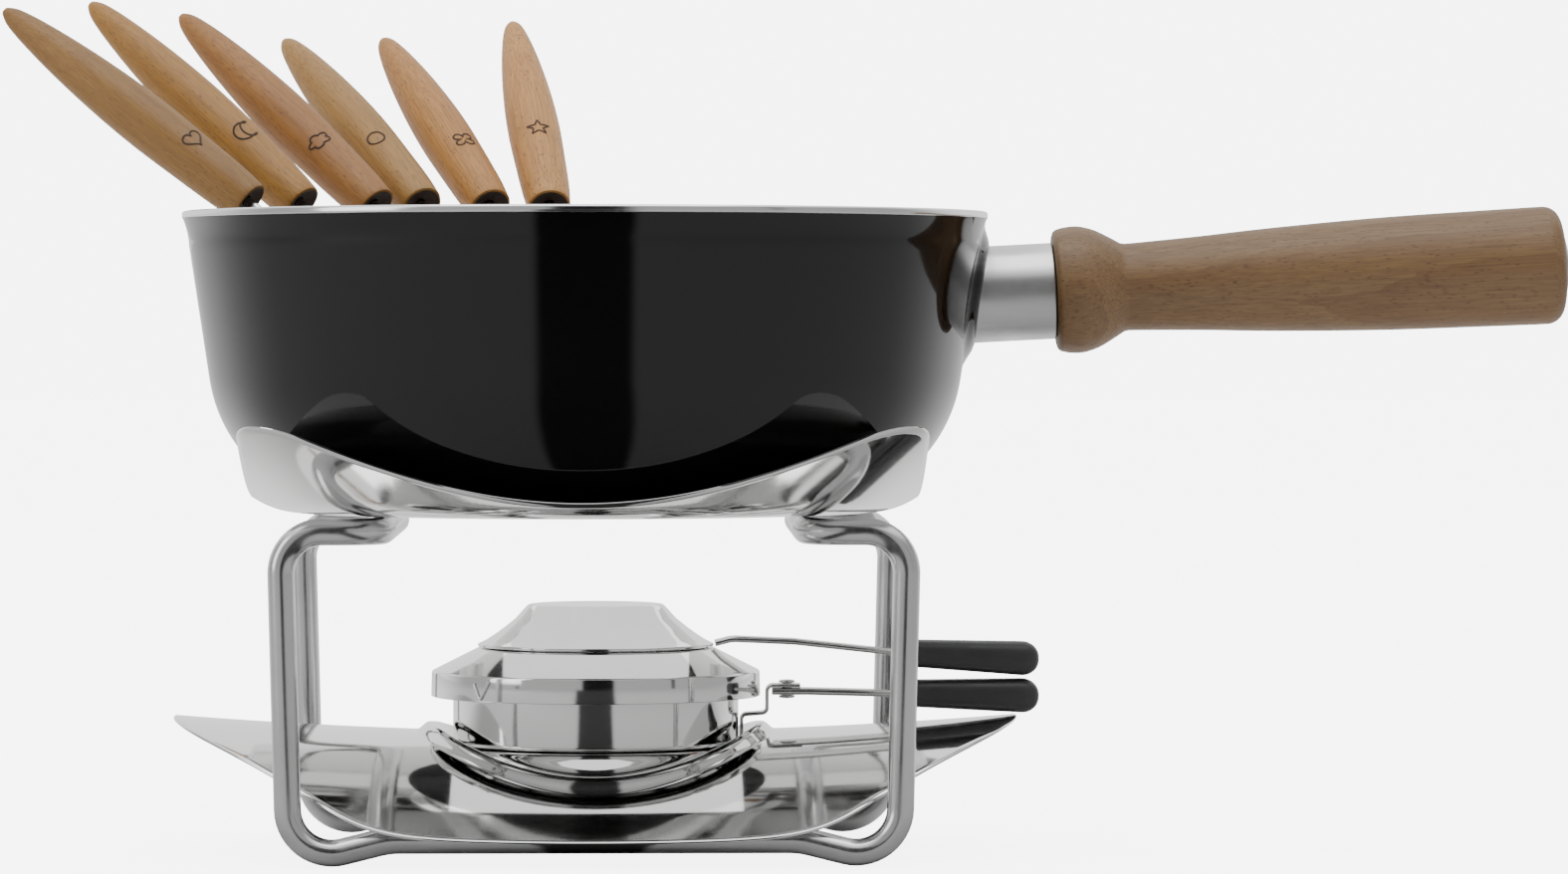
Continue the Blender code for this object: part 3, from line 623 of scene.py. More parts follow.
def trayArch(x, y):
    crest = trayCrest + tray["tipRise"] * (x / tray["halfLength"]) ** 2
    y = abs(y)
    bend = tray["archRadius"]
    if y <= stand["frontY"]:
        return crest - bend + math.sqrt(bend ** 2 - y ** 2)
    return crest - bend * (1 - math.cos(trayLean)) - math.tan(trayLean) * (y - stand["frontY"])


def trayHeight(x, y):
    # the arch, with a pressed round seat and a raised lip round it
    radius = math.hypot(x, y)
    seat = cup["radius"] + cup["seatOut"]
    lip = softStep(radius, seat, seat + 4.6) - softStep(radius, seat + 5.8, seat + 9.6)
    arch = trayArch(x, y) + tray["lip"] * lip
    share = softStep(radius, seat - 0.4, seat + 4.0)
    return seatZ * (1 - share) + arch * share


def trayReach(angle):
    across = abs(math.cos(angle))
    along = abs(math.sin(angle))
    turn = math.radians(tray["flankTurn"])
    leg = stand["legFootX"] * math.cos(turn) + stand["frontY"] * math.sin(turn)
    limits = (
        math.hypot(across / tray["halfLength"], along / tray["ovalHalf"]),
        (across * math.cos(turn) + along * math.sin(turn)) / (leg - stand["wireRadius"] - tray["legClear"]),
        along / (stand["frontY"] + tray["edgeOut"]),
    )
    return sum(limit ** 24 for limit in limits) ** (-1 / 24)


def buildTray():
    mesh = startMesh()
    sides = tray["sides"]
    foot = cup["radius"] + cup["seatOut"] + 10.5
    outer = sheetRings(trayReach, trayHeight, foot, tray["sheet"], tray["edgeRound"], sides, 34)

    def roundRing(radius, drop):
        return [(x, y, trayHeight(x, y) - drop) for x, y in circleOf(radius, turnsOf(sides))]

    radii = [12, 24, 36] + [cup["radius"] - 1 + 0.5 * step for step in range(27)]
    radii = [radius for radius in radii if radius < foot - 0.2]
    above = [roundRing(radius, 0) for radius in radii]
    below = [roundRing(radius, tray["sheet"]) for radius in reversed(radii)]
    centre = trayHeight(0, 0)
    loftRings(mesh, [[(0, 0, centre)], *above, *outer, *below, [(0, 0, centre - tray["sheet"])]])
    finishPiece("dripTray", mesh, [steel["sheetSteel"]], "tray", ["drip_tray"], 50)


buildTray()
print("drip tray ready")


cover = {"out": 6.6, "skirt": 7.5, "shoulderIn": 7.5, "rise": 7.0, "hole": 28.0, "wall": 0.8}
lid = {"topIn": 15.3, "height": 12.8, "brim": 0.9, "wall": 0.8}
cupBase = seatZ + gap
coverR = cup["radius"] + cover["out"]
shoulderR = cup["radius"] - cover["shoulderIn"]
coverSlope = cover["rise"] / (coverR - shoulderR)
coverThick = cover["wall"] * math.hypot(1, coverSlope)
coverRim = cupBase + cup["height"] + gap + coverThick - coverSlope * cover["out"]
coverTop = coverRim + cover["rise"]
burnerSides = 160


def buildCup():
    mesh = startMesh()
    radius = cup["radius"]
    inner = radius - cup["wall"]
    brim = cupBase + cup["height"]
    floor = cupBase + cup["wall"]
    outline = bendPath([
        ((0, floor), 0), ((inner, floor), 1.2), ((inner, brim), 0.35), ((radius, brim), 0.35),
        ((radius, cupBase), 1.6), ((0, cupBase), 0),
    ])
    turnOutline(mesh, outline, burnerSides)
    finishPiece("burnerCup", mesh, [steel["burnerSteel"]], "burner", ["burner_cup"])


def buildTin():
    mesh = startMesh()
    tin = cup["radius"] - cup["wall"] - 2 * gap
    floor = cupBase + cup["wall"] + gap
    top = floor + cup["tinHeight"]
    outline = bendPath([
        ((0, top - 3), 0), ((tin - 3.2, top - 3), 0.8), ((tin - 3.2, top - 0.6), 0.5), ((tin - 1.2, top), 0.4),
        ((tin, top), 0.5), ((tin, top - 2), 0.4), ((tin - 0.5, top - 3), 0.6), ((tin - 0.5, floor), 0.8),
        ((0, floor), 0),
    ])
    faces = turnOutline(mesh, outline, 96)
    for face in faces:
        middle = face.calc_center_median()
        if math.hypot(middle.x, middle.y) < tin - 4 and middle.z > floor + 4:
            face.material_index = 1
    finishPiece("fuelTin", mesh, [steel["tinplate"], burnerPaste], "burner", ["fuel_tin"])


def buildCover():
    mesh = startMesh()
    wall = cover["wall"]
    bottom = coverRim - cover["skirt"]
    outline = bendPath([
        ((cover["hole"], coverTop), 0.3), ((shoulderR, coverTop), 1.2), ((coverR - 0.2, coverRim), 0.9),
        ((coverR, bottom), 0.3), ((coverR - wall, bottom), 0.3),
        ((coverR - wall, coverRim - coverThick + coverSlope * wall), 0.5),
        ((shoulderR, coverTop - coverThick), 0.6), ((cover["hole"], coverTop - wall), 0.3),
    ], 5, closed=True)
    turnOutline(mesh, outline, burnerSides, closed=True)
    finishPiece("regulatorCover", mesh, [steel["burnerSteel"]], "regulator", ["regulator_cover"])


def buildTick():
    # the setting mark pressed into the skirt, a plain tick
    sideTurn = math.radians(-132.5)
    middle = coverRim - cover["skirt"] * 0.5
    marks = [(-3.0, 1.6), (-0.9, -2.4), (0.2, -2.2), (3.2, 2.6)]
    path = []
    for across, up in smoothPath(marks, 6):
        turn = sideTurn + across / coverR
        path.append((coverR * math.cos(turn), coverR * math.sin(turn), middle + up))
    data = runNodes("settingTick", bentWire, [(path, False)], {
        "Wire Radius": 0.00055, "Sides": 12, "Finish": steel["burnerSteel"],
    })
    placePiece("settingTick", data, [], "regulator", [])


def buildLid():
    mesh = startMesh()
    seat = coverTop + gap
    flat = shoulderR - lid["topIn"]
    height = lid["height"]
    cone = [(flat + 1.6, height - 1.6)]
    for share in (0.2, 0.4, 0.6, 0.8, 0.93):
        rise = lid["brim"] + (height - 1.8 - lid["brim"]) * (1 - share) ** 1.25
        cone.append((flat + 1.1 + (lid["topIn"] - 1.1) * share, rise))
    outer = [((0, height), 0), ((flat, height), 1.8)] + [((r, z), 0) for r, z in cone]
    edge = [((shoulderR, lid["brim"]), 0.4), ((shoulderR, 0), 0.4), ((shoulderR - 2.5, 0), 0.3)]
    inner = [((r - 0.5, z - lid["wall"]), 0) for r, z in reversed(cone)]
    roof = [((flat - 1.5, height - lid["wall"]), 0.8), ((0, height - lid["wall"]), 0)]
    outline = [(r, z + seat) for r, z in bendPath(outer + edge + inner + roof, 5)]
    turnOutline(mesh, outline, burnerSides)
    finishPiece("snufferLid", mesh, [steel["burnerSteel"]], "lid", ["snuffer_lid"], 40)


buildCup()
buildTin()
buildCover()
buildTick()
buildLid()
print("burner ready")


grips = {
    "start": 45.4, "length": 38.6, "cupRise": 15.1, "cupDrop": 0.8, "lidRise": 12.1, "lidDrop": 1.8,
    "halfStart": 4.1, "halfEnd": 5.3, "halfWidth": 6.6, "tang": 8.0, "stripWidth": 9.0,
}
gripStart = coverR + grips["start"]
cupGripZ = cupBase + grips["cupRise"]
lidGripZ = cupGripZ + grips["lidRise"]


def buildGrip(name, node, body, middleZ, drop):
    # a soft moulding, squashed oval in section, fatter at its round end
    mesh = startMesh()
    steps = 40
    path = []
    for step in range(steps + 1):
        share = 0.5 - 0.5 * math.cos(math.pi * step / steps)
        path.append((gripStart + grips["length"] * share, 0, middleZ - drop * share))

    def section(share):
        share = 0.5 - 0.5 * math.cos(math.pi * share)
        half = grips["halfStart"] + (grips["halfEnd"] - grips["halfStart"]) * share
        fromStart = share * grips["length"]
        fromEnd = grips["length"] - fromStart
        tuck = math.sqrt(max(0, 1 - (1 - min(1, fromStart / 1.4)) ** 2)) * 0.12 + 0.88
        nose = math.sqrt(max(0.0004, 1 - (1 - min(1, fromEnd / 5.2)) ** 2))
        wide = grips["halfWidth"] * (0.93 + 0.07 * share) * tuck * (0.35 + 0.65 * nose)
        tall = half * tuck * (0.12 + 0.88 * nose)
        points = []
        for side in range(40):
            turn = 2 * math.pi * side / 40
            cosine = math.cos(turn)
            sine = math.sin(turn)
            points.append((
                wide * math.copysign(abs(cosine) ** 0.62, cosine), tall * math.copysign(abs(sine) ** 0.62, sine),
            ))
        return points

    sweepSection(mesh, path, section, (0, 1, 0))
    finishPiece(name, mesh, [softGrip], body, [node], 60)


def buildStrip(name, node, body, corners, thickness):
    # a flat bar bent along (x, z) corners
    mesh = startMesh()
    route = bendPath([((x, 0, z), bend) for (x, z), bend in corners], 6)
    section = roundedSection(grips["stripWidth"], thickness, min(thickness * 0.42, 0.7))
    sweepSection(mesh, evenPath(route, 3.0), lambda share: section, (0, 1, 0))
    finishPiece(name, mesh, [steel["stripSteel"]], body, [node], 40)


def buildRivet(x, middleZ, grip):
    mesh = startMesh()
    half = grip / 2 + gap
    outline = bendPath([
        ((0, half + 1.0), 0), ((2.1, half + 0.8), 0.9), ((3.0, half), 0.3), ((1.5, half), 0.1),
        ((1.5, -half), 0.1), ((3.0, -half), 0.3), ((2.1, -half - 0.8), 0.9), ((0, -half - 1.0), 0),
    ], 4)
    turnOutline(mesh, outline, 32, Matrix.Translation((x, 0, middleZ)))
    finishPiece("cupHandleRivet", mesh, [steel["stripSteel"]], "burner", ["cup_handle_rivet"])


def buildBurnerHandles():
    free = 0.4
    foot = cupBase + 2.0
    skirtClear = coverR + 2.0
    neck = gripStart - 4
    bendZ = cupGripZ + 2.5
    bracketEnd = skirtClear + 10
    low = coverRim - cover["skirt"] - 5.8
    wallX = cup["radius"] + free + 0.5
    buildStrip("cupHandleBracket", "cup_handle_bracket", "burner", [
        ((wallX, foot), 0), ((wallX, low), 1.5), ((skirtClear, low + 0.6), 1.5), ((skirtClear, bendZ), 1.8),
        ((bracketEnd, bendZ), 0),
    ], 1.0)
    railTop = bendZ - 0.5 - gap
    tangEnd = neck + 4 + grips["tang"]
    buildStrip("cupHandleRail", "cup_handle_rail", "burner", [
        ((skirtClear + 1.5, railTop - 1.0), 0), ((bracketEnd + 2, railTop - 1.0), 14), ((neck, cupGripZ), 14),
        ((tangEnd, cupGripZ - grips["cupDrop"] * grips["tang"] / grips["length"]), 0),
    ], 2.0)
    buildRivet(bracketEnd - 4, bendZ - 1.15, 3.3)
    buildGrip("cupGrip", "cup_grip", "burner", cupGripZ, grips["cupDrop"])
    brim = coverTop + gap
    buildStrip("lidHandleStrip", "lid_handle_strip", "lid", [
        ((shoulderR + free, brim + 0.9), 0), ((shoulderR + 5.5, brim + 2.2), 10), ((coverR + 10, brim + 1.4), 20),
        ((neck, lidGripZ + 0.2), 14), ((tangEnd, lidGripZ - grips["lidDrop"] * grips["tang"] / grips["length"]), 0),
    ], 1.8)
    buildGrip("lidGrip", "lid_grip", "lid", lidGripZ, grips["lidDrop"])


buildBurnerHandles()
print("burner handles ready")


pot = {
    "baseRadius": 68.4, "cornerRadius": 45.0, "wall": 3.0, "lean": 8.6, "lipDrop": 8.0, "lipOut": 1.8,
    "height": 86.5, "ringHeight": 1.9, "sides": 288, "crowding": 0.6, "boss": 2.6, "bossInner": 15.0, "bossOuter": 22.0,
}
handle = {
    "tilt": 2.97, "ferrule": 14.5, "ferruleWall": 1.5, "collar": 19.1, "neck": 12.9, "woodEnd": 17.8,
    "length": 153.5, "rod": 3.4, "washer": 9.6, "sides": 128,
}
potBase = standTop + plate["sheet"] + 2 * gap


def potOutline(offset):
    # the outer side from rim to base, moved outwards by offset
    lean = math.radians(pot["lean"])
    top = potBase + pot["height"]
    middle = Vector((pot["baseRadius"], potBase + pot["cornerRadius"]))
    bend = pot["cornerRadius"] + offset
    corner = []
    for step in range(37):
        turn = math.radians(-pot["lean"] + (pot["lean"] - 90) * step / 36)
        corner.append(middle + Vector((math.cos(turn), math.sin(turn))) * bend)
    neckZ = top - pot["lipDrop"]
    neckR = corner[0].x + (neckZ - corner[0].y) * math.tan(lean)
    flare = []
    for step in range(8):
        share = 1 - step / 8
        flare.append(Vector((neckR + pot["lipOut"] * share ** 1.7, neckZ + pot["lipDrop"] * share)))
    return flare + evenPath([Vector((neckR, neckZ)), corner[0]], 2.2)[:-1] + corner


def nodeFrame(node, axis):
    # a piece's own frame: Z along its axis from its lowest end, X towards the viewer's side
    axis = Vector(axis).normalized()
    points = [offTable @ vert.co for vert in frame["nodes"][node].data.vertices]
    middle = sum(points, Vector()) / len(points)
    start = min((point - middle).dot(axis) for point in points)
    facing = (Vector((0, -1, 0)) - axis * -axis.y).normalized()
    turn = Matrix((facing, axis.cross(facing), axis)).transposed().to_4x4()
    return Matrix.Translation(middle + axis * start) @ turn


tilt = math.radians(handle["tilt"])
handleFrame = nodeFrame("handle_grip", (math.cos(tilt), 0, math.sin(tilt)))
handleAxis = handleFrame.to_3x3() @ Vector((0, 0, 1))
rimR = potOutline(0)[0].x


def bossOut(point):
    # how far the wall swells towards the ferrule
    away = point - handleFrame.translation
    if point.x < potX:
        return 0.0
    distance = (away - handleAxis * away.dot(handleAxis)).length
    return pot["boss"] * (1 - softStep(distance, pot["bossInner"], pot["bossOuter"]))


def buildPot():
    mesh = startMesh()
    turns = []
    for side in range(pot["sides"]):
        share = side / pot["sides"]
        turns.append(2 * math.pi * share - pot["crowding"] * math.sin(2 * math.pi * share))
    rings = []
    outer = potOutline(0)
    for radius, height in outer:
        ring = []
        for turn in turns:
            outward = Vector((math.cos(turn), math.sin(turn), 0))
            point = Vector((potX, 0, height)) + outward * radius
            ring.append(point + outward * bossOut(point))
        rings.append(ring)
    inner = potOutline(-pot["wall"])
    inside = [[onPot @ Vector(point) for point in circleOf(radius, turns, height)] for radius, height in inner]
    bottom = [[(potX, 0, outer[-1].y)]]
    floor = [[(potX, 0, inner[-1].y)]]
    loftRings(mesh, floor + list(reversed(inside)) + rings + bottom)
    finishPiece("potBody", mesh, [blackEnamel], "pot", ["pot_body"], 50)


def buildRimRing():
    mesh = startMesh()
    base = potBase + pot["height"] + gap
    outer = rimR + 0.3
    width = pot["wall"] + 0.5
    tall = pot["ringHeight"]
    outline = bendPath([
        ((outer, base - 0.25), 0.3), ((outer - width, base - 0.25), 0.3), ((outer - width, base + tall), 0.85),
        ((outer, base + tall), 0.85),
    ], 5, closed=True)
    turnOutline(mesh, outline, 288, onPot, closed=True)
    finishPiece("potRimRing", mesh, [steel["rimSteel"]], "pot", ["pot_rim_ring"])


def wallDepth(turn, radius):
    # how far back along the handle's axis the pot's wall is, at a place round the ferrule
    outer = potOutline(1.4)
    near, far = 0.0, 60.0
    for _ in range(24):
        depth = (near + far) / 2
        point = handleFrame @ Vector((radius * math.cos(turn), radius * math.sin(turn), -depth))
        wall = 0
        for upper, lower in zip(outer, outer[1:]):
            if lower.y <= point.z <= upper.y:
                share = (point.z - lower.y) / max(upper.y - lower.y, 1e-6)
                wall = lower.x + (upper.x - lower.x) * share
        if math.hypot(point.x - potX, point.y) > wall:
            near = depth
        else:
            far = depth
    return near


def buildFerrule():
    mesh = startMesh()
    sides = 96
    turns = turnsOf(sides)
    outer = handle["ferrule"]
    inner = outer - handle["ferruleWall"]
    depths = [wallDepth(turn, outer) for turn in turns]
    edgeRound = 0.4

    def cutRing(radius, start, share):
        # a ring between the wood and the pot's wall, at a share of the way back
        points = zip(circleOf(radius, turns), depths)
        return [(x, y, -start - (depth - start) * share) for (x, y), depth in points]

    rings = [cutRing(outer, gap + edgeRound, step / 12) for step in range(13)]
    inside = [cutRing(inner, gap, share) for share in (1, 0.5, 0)]
    edge = circleOf(outer - edgeRound, turns, -gap)
    loftRings(mesh, rings + inside + [edge], handleFrame, closed=True)
    finishPiece("handleFerrule", mesh, [steel["brushedSteel"]], "pot", ["handle_ferrule"])


def buildHandleWood():
    mesh = startMesh()
    collar = handle["collar"]
    end = handle["length"]
    bulge = smoothPath([
        (collar - 0.7, 1.2), (collar - 0.1, 4.0), (collar - 0.05, 8.0), (collar - 1.3, 12.5), (collar - 3.6, 16.9),
        (collar - 5.7, 20.4),
    ], 6)
    body = smoothPath([
        (handle["neck"] + 0.25, 21.6), (handle["neck"] + 0.4, 26), (handle["neck"] + 1.3, 44),
        (handle["neck"] + 2.7, 66), (handle["neck"] + 4.1, 98), (handle["woodEnd"] - 0.25, 128),
        (handle["woodEnd"], end - 8),
    ], 6)
    close = bendPath([
        ((handle["woodEnd"], end - 8), 0), ((handle["woodEnd"], end), 5.0), ((handle["rod"], end), 0),
    ], 10)[1:]
    start = [Vector((handle["rod"], 0)), Vector((collar - 2.2, 0)), Vector((collar - 1.3, 0.35))]
    outline = start + bulge + body + close
    turnOutline(mesh, outline, handle["sides"], handleFrame, closed=True)
    look = {
        "shift": 1.0, "pith": (20.0, 14.0), "slant": 0.085, "slantStart": 0.0, "waver": 5.0, "bands": 0.16,
        "bandDepth": 0.55, "deep": (0.149, 0.079, 0.029), "light": (0.178, 0.097, 0.037), "band": (0.220, 0.133, 0.054),
        "fleck": (0.075, 0.032, 0.013), "fleckDepth": 0.9,
    }
    finishPiece("handleGrip", mesh, [woodFinish("handleBeech", look)], "pot", ["handle_grip"], 40)


def buildFasteners():
    end = handle["length"]
    mesh = startMesh()
    rodStart = rimR + potX - handleFrame.translation.x
    outline = bendPath([((0, end - 6), 0), ((3, end - 6), 0.4), ((3, rodStart), 0.4), ((0, rodStart), 0)], 4)
    turnOutline(mesh, outline, 32, handleFrame)
    finishPiece("tieRod", mesh, [steel["screwSteel"]], "pot", ["tie_rod"])
    mesh = startMesh()
    base = end + gap
    radius = handle["washer"]
    outline = bendPath([
        ((2.4, base), 0.1), ((radius, base), 0.2), ((radius, base + 0.5), 0.25), ((radius * 0.62, base + 1.45), 3),
        ((2.4, base + 1.6), 0.2),
    ], 5, closed=True)
    turnOutline(mesh, outline, 64, handleFrame, closed=True)
    finishPiece("endWasher", mesh, [steel["screwSteel"]], "pot", ["end_washer"])
    mesh = startMesh()
    head = base + 1.6 + gap
    outline = bendPath([
        ((0, head + 1.4), 0), ((2.2, head + 1.25), 0.9), ((3.4, head), 0.15), ((2.0, head), 0.1),
        ((2.0, end - 6 + gap), 0.2), ((0, end - 6 + gap), 0),
    ], 5)
    turnOutline(mesh, outline, 40, handleFrame)
    finishPiece("endScrew", mesh, [steel["screwSteel"]], "pot", ["end_screw"])


buildPot()
buildRimRing()
buildFerrule()
buildHandleWood()
buildFasteners()
print("pot ready")


fork = {
    "length": 105.0, "widest": 8.5, "end": 6.9, "shank": 1.5, "shankOut": 132.0, "tang": 24.0, "tineLength": 27.0,
    "tineSpan": 2.6, "tineRadius": 0.9, "sides": 72, "lineRadius": 0.36, "symbolSize": 3.3,
}


def heartLine(t):
    turn = 2 * math.pi * t
    across = math.sin(turn) ** 3
    up = (13 * math.cos(turn) - 5 * math.cos(2 * turn) - 2 * math.cos(3 * turn) - math.cos(4 * turn)) / 16
    return across, up


def crescentLine(t):
    if t < 0.5:
        turn = math.radians(50 + 260 * 2 * t)
        return math.cos(turn), math.sin(turn)
    turn = math.radians(310 - 260 * 2 * (t - 0.5))
    return 0.59 + 0.702 * math.cos(turn), 0.98 * math.sin(turn)


def cloudLine(t):
    turn = 2 * math.pi * t
    puff = 0.72 + 0.36 * abs(math.sin(2.5 * turn))
    return 1.12 * puff * math.cos(turn), 0.74 * puff * math.sin(turn)


def ringLine(t):
    turn = 2 * math.pi * t
    return 0.85 * math.cos(turn), 0.85 * math.sin(turn)


def cloverLine(t):
    turn = 2 * math.pi * t
    leaf = 0.25 + 0.85 * abs(math.sin(2 * turn)) ** 0.6
    return leaf * math.cos(turn), leaf * math.sin(turn)


def starLine(t):
    corner = t * 10
    index = int(corner)
    share = corner - index

    def point(number):
        reach = 1.15 if number % 2 == 0 else 0.5
        turn = math.pi / 2 + number * math.pi / 5
        return Vector((reach * math.cos(turn), reach * math.sin(turn)))

    return tuple(point(index).lerp(point(index + 1), share))


# symbol, its place along the handle and round it in degrees, and the wood's tones
forks = {
    "heart": {
        "line": heartLine, "along": 25.7, "round": 40, "shift": 2.0, "pith": (16.0, 4.0), "slant": 0.05,
        "deep": (0.213, 0.101, 0.017), "light": (0.256, 0.125, 0.021), "band": (0.293, 0.150, 0.027), "fleckDepth": 0.9,
    },
    "crescent": {
        "line": crescentLine, "along": 29.4, "round": 34, "shift": 3.1, "pith": (12.0, -6.0), "slant": 0.09,
        "deep": (0.316, 0.143, 0.021), "light": (0.376, 0.178, 0.027), "band": (0.417, 0.211, 0.034), "fleckDepth": 0.8,
    },
    "cloud": {
        "line": cloudLine, "along": 28.0, "round": 18, "shift": 4.3, "pith": (22.0, 9.0), "slant": 0.06,
        "deep": (0.290, 0.116, 0.021), "light": (0.347, 0.149, 0.028), "band": (0.385, 0.175, 0.034), "fleckDepth": 0.9,
    },
    "ring": {
        "line": ringLine, "along": 30.5, "round": 20, "shift": 5.2, "pith": (18.0, -3.0), "slant": 0.08,
        "deep": (0.328, 0.164, 0.033), "light": (0.381, 0.199, 0.042), "band": (0.420, 0.229, 0.050), "fleckDepth": 0.8,
    },
    "clover": {
        "line": cloverLine, "along": 28.6, "round": 36, "shift": 6.4, "pith": (15.0, 8.0), "slant": 0.05,
        "deep": (0.399, 0.166, 0.031), "light": (0.471, 0.211, 0.042), "band": (0.513, 0.240, 0.050), "fleckDepth": 0.9,
    },
    "star": {
        "line": starLine, "along": 33.0, "round": 12, "shift": 7.7, "pith": (20.0, 5.0), "slant": 0.07,
        "deep": (0.487, 0.217, 0.052), "light": (0.569, 0.276, 0.069), "band": (0.625, 0.317, 0.084), "fleckDepth": 0.9,
    },
}


def handleOutline():
    # from the hollow at the steel's end, up the side, to the rounded tip
    widest = fork["widest"]
    end = fork["end"]
    length = fork["length"]
    hollow = [Vector((fork["shank"] + 0.4, 1.6)), Vector((fork["shank"] + 1.6, 1.5)), Vector((end - 1.5, 0.25))]
    edge = [Vector((end - 0.9, 0.0)), Vector((end - 0.25, 0.25)), Vector((end, 0.9))]
    side = smoothPath([
        (end, 0.9), (end + 0.75, 10), (0.96 * widest, 25), (widest, 42), (0.95 * widest, 58), (0.81 * widest, 75),
        (0.61 * widest, 90), (0.40 * widest, 100), (0.19 * widest, length - 0.9), (0.09 * widest, length - 0.25),
    ], 8)
    bore = [Vector((0, fork["tang"] + gap)), Vector((fork["shank"] + 0.4, fork["tang"] + gap))]
    return bore + hollow + edge + side[1:] + [Vector((0, length))]


def sideRadius(along):
    outline = handleOutline()
    for lower, upper in zip(outline[5:], outline[6:]):
        if lower.y <= along <= upper.y and upper.y > lower.y:
            return lower.x + (upper.x - lower.x) * (along - lower.y) / (upper.y - lower.y)
    return fork["widest"]


def buildForkHandle(name, look, place):
    mesh = startMesh()
    faces = turnOutline(mesh, handleOutline(), fork["sides"], place)
    back = place.inverted()
    # faces in the hollow at the steel's end take the dark finish: darker end grain with painted shade
    for face in faces:
        middle = back @ face.calc_center_median()
        if math.hypot(middle.x, middle.y) < fork["end"] - 1.0 and middle.z < fork["tang"] + 1:
            face.material_index = 1
    wood = woodFinish(name + "Beech", {
        "waver": 3.0, "bands": 0.24, "bandDepth": 0.5, "slantStart": 0.0, "fleck": (0.13, 0.055, 0.018), **look,
    })
    finishPiece(
        name + "Handle", mesh, [wood, scorchAndHollowShade], f"fork_{name}", [f"fork_{name}_handle"], 40,
    )


def buildSymbol(name, look, place):
    # a scorched outline that follows the handle's round side
    size = fork["symbolSize"]
    points = []
    steps = 60
    for step in range(steps):
        across, up = look["line"](step / steps)
        along = look["along"] + up * size
        radius = sideRadius(along) - 0.08
        turn = math.radians(look["round"]) + across * size / radius
        points.append(place @ Vector((radius * math.cos(turn), radius * math.sin(turn), along)))
    data = runNodes(name + "Symbol", bentWire, [(points, True)], {
        "Wire Radius": fork["lineRadius"] / 1000, "Sides": 8, "Finish": scorchAndHollowShade,
    })
    placePiece(name + "Symbol", data, [], f"fork_{name}", [])


def flatPlace(place):
    # the same place, with X level, so that the tines lie flat over the rim
    axis = place.to_3x3() @ Vector((0, 0, 1))
    level = Vector((0, 0, 1)).cross(axis).normalized()
    turn = Matrix((level, axis.cross(level), axis)).transposed().to_4x4()
    return Matrix.Translation(place.translation) @ turn


def buildForkSteel(name, place):
    mesh = startMesh()
    foot = fork["shankOut"] - fork["tineLength"]
    shank = fork["shank"]

    def barSection(share):
        radius = shank * (1 - 0.06 * share)
        return circleOf(radius, turnsOf(24))

    sweepSection(mesh, evenPath([(0, 0, fork["tang"]), (0, 0, -foot)], 20), barSection, (1, 0, 0), place)
    span = fork["tineSpan"]
    prong = bendPath([
        ((0, 0, -foot + 2), 0), ((0, 0, -foot - 0.5), 1.2), ((span, 0, -foot - 4.5), 3.0),
        ((span, 0, -fork["shankOut"]), 0),
    ], 6)
    for sign in (-1, 1):
        path = evenPath([Vector((sign * x, y, z)) for x, y, z in prong], 2.5)

        def prongSection(share):
            radius = fork["tineRadius"] * (1.15 - 0.15 * min(1, share * 5)) * (1 - softStep(share, 0.78, 1.0) * 0.85)
            return circleOf(radius, turnsOf(16))

        sweepSection(mesh, path, prongSection, (0, 1, 0), flatPlace(place))
    finishPiece(name + "Steel", mesh, [steel["forkSteel"]], f"fork_{name}", [f"fork_{name}_steel"], 50)


joints = {joint["name"]: joint for joint in frame["record"]["behaviour"]["joints"]}
for name, look in forks.items():
    place = nodeFrame(f"fork_{name}_handle", joints[f"fork_{name}_pull"]["axis"])
    buildForkHandle(name, look, place)
    buildSymbol(name, look, place)
    buildForkSteel(name, place)
print("forks ready")


room = {
    "floorHalf": 12.0, "floorColor": (0.88, 0.88, 0.88), "glow": 5.6, "frontShade": 0.42, "gapShade": 0.02,
    "gapHalf": 13.0, "gapEdge": 0.03, "backShade": 0.9, "darkTurn": 95.0, "paleTurn": 140.0,
}


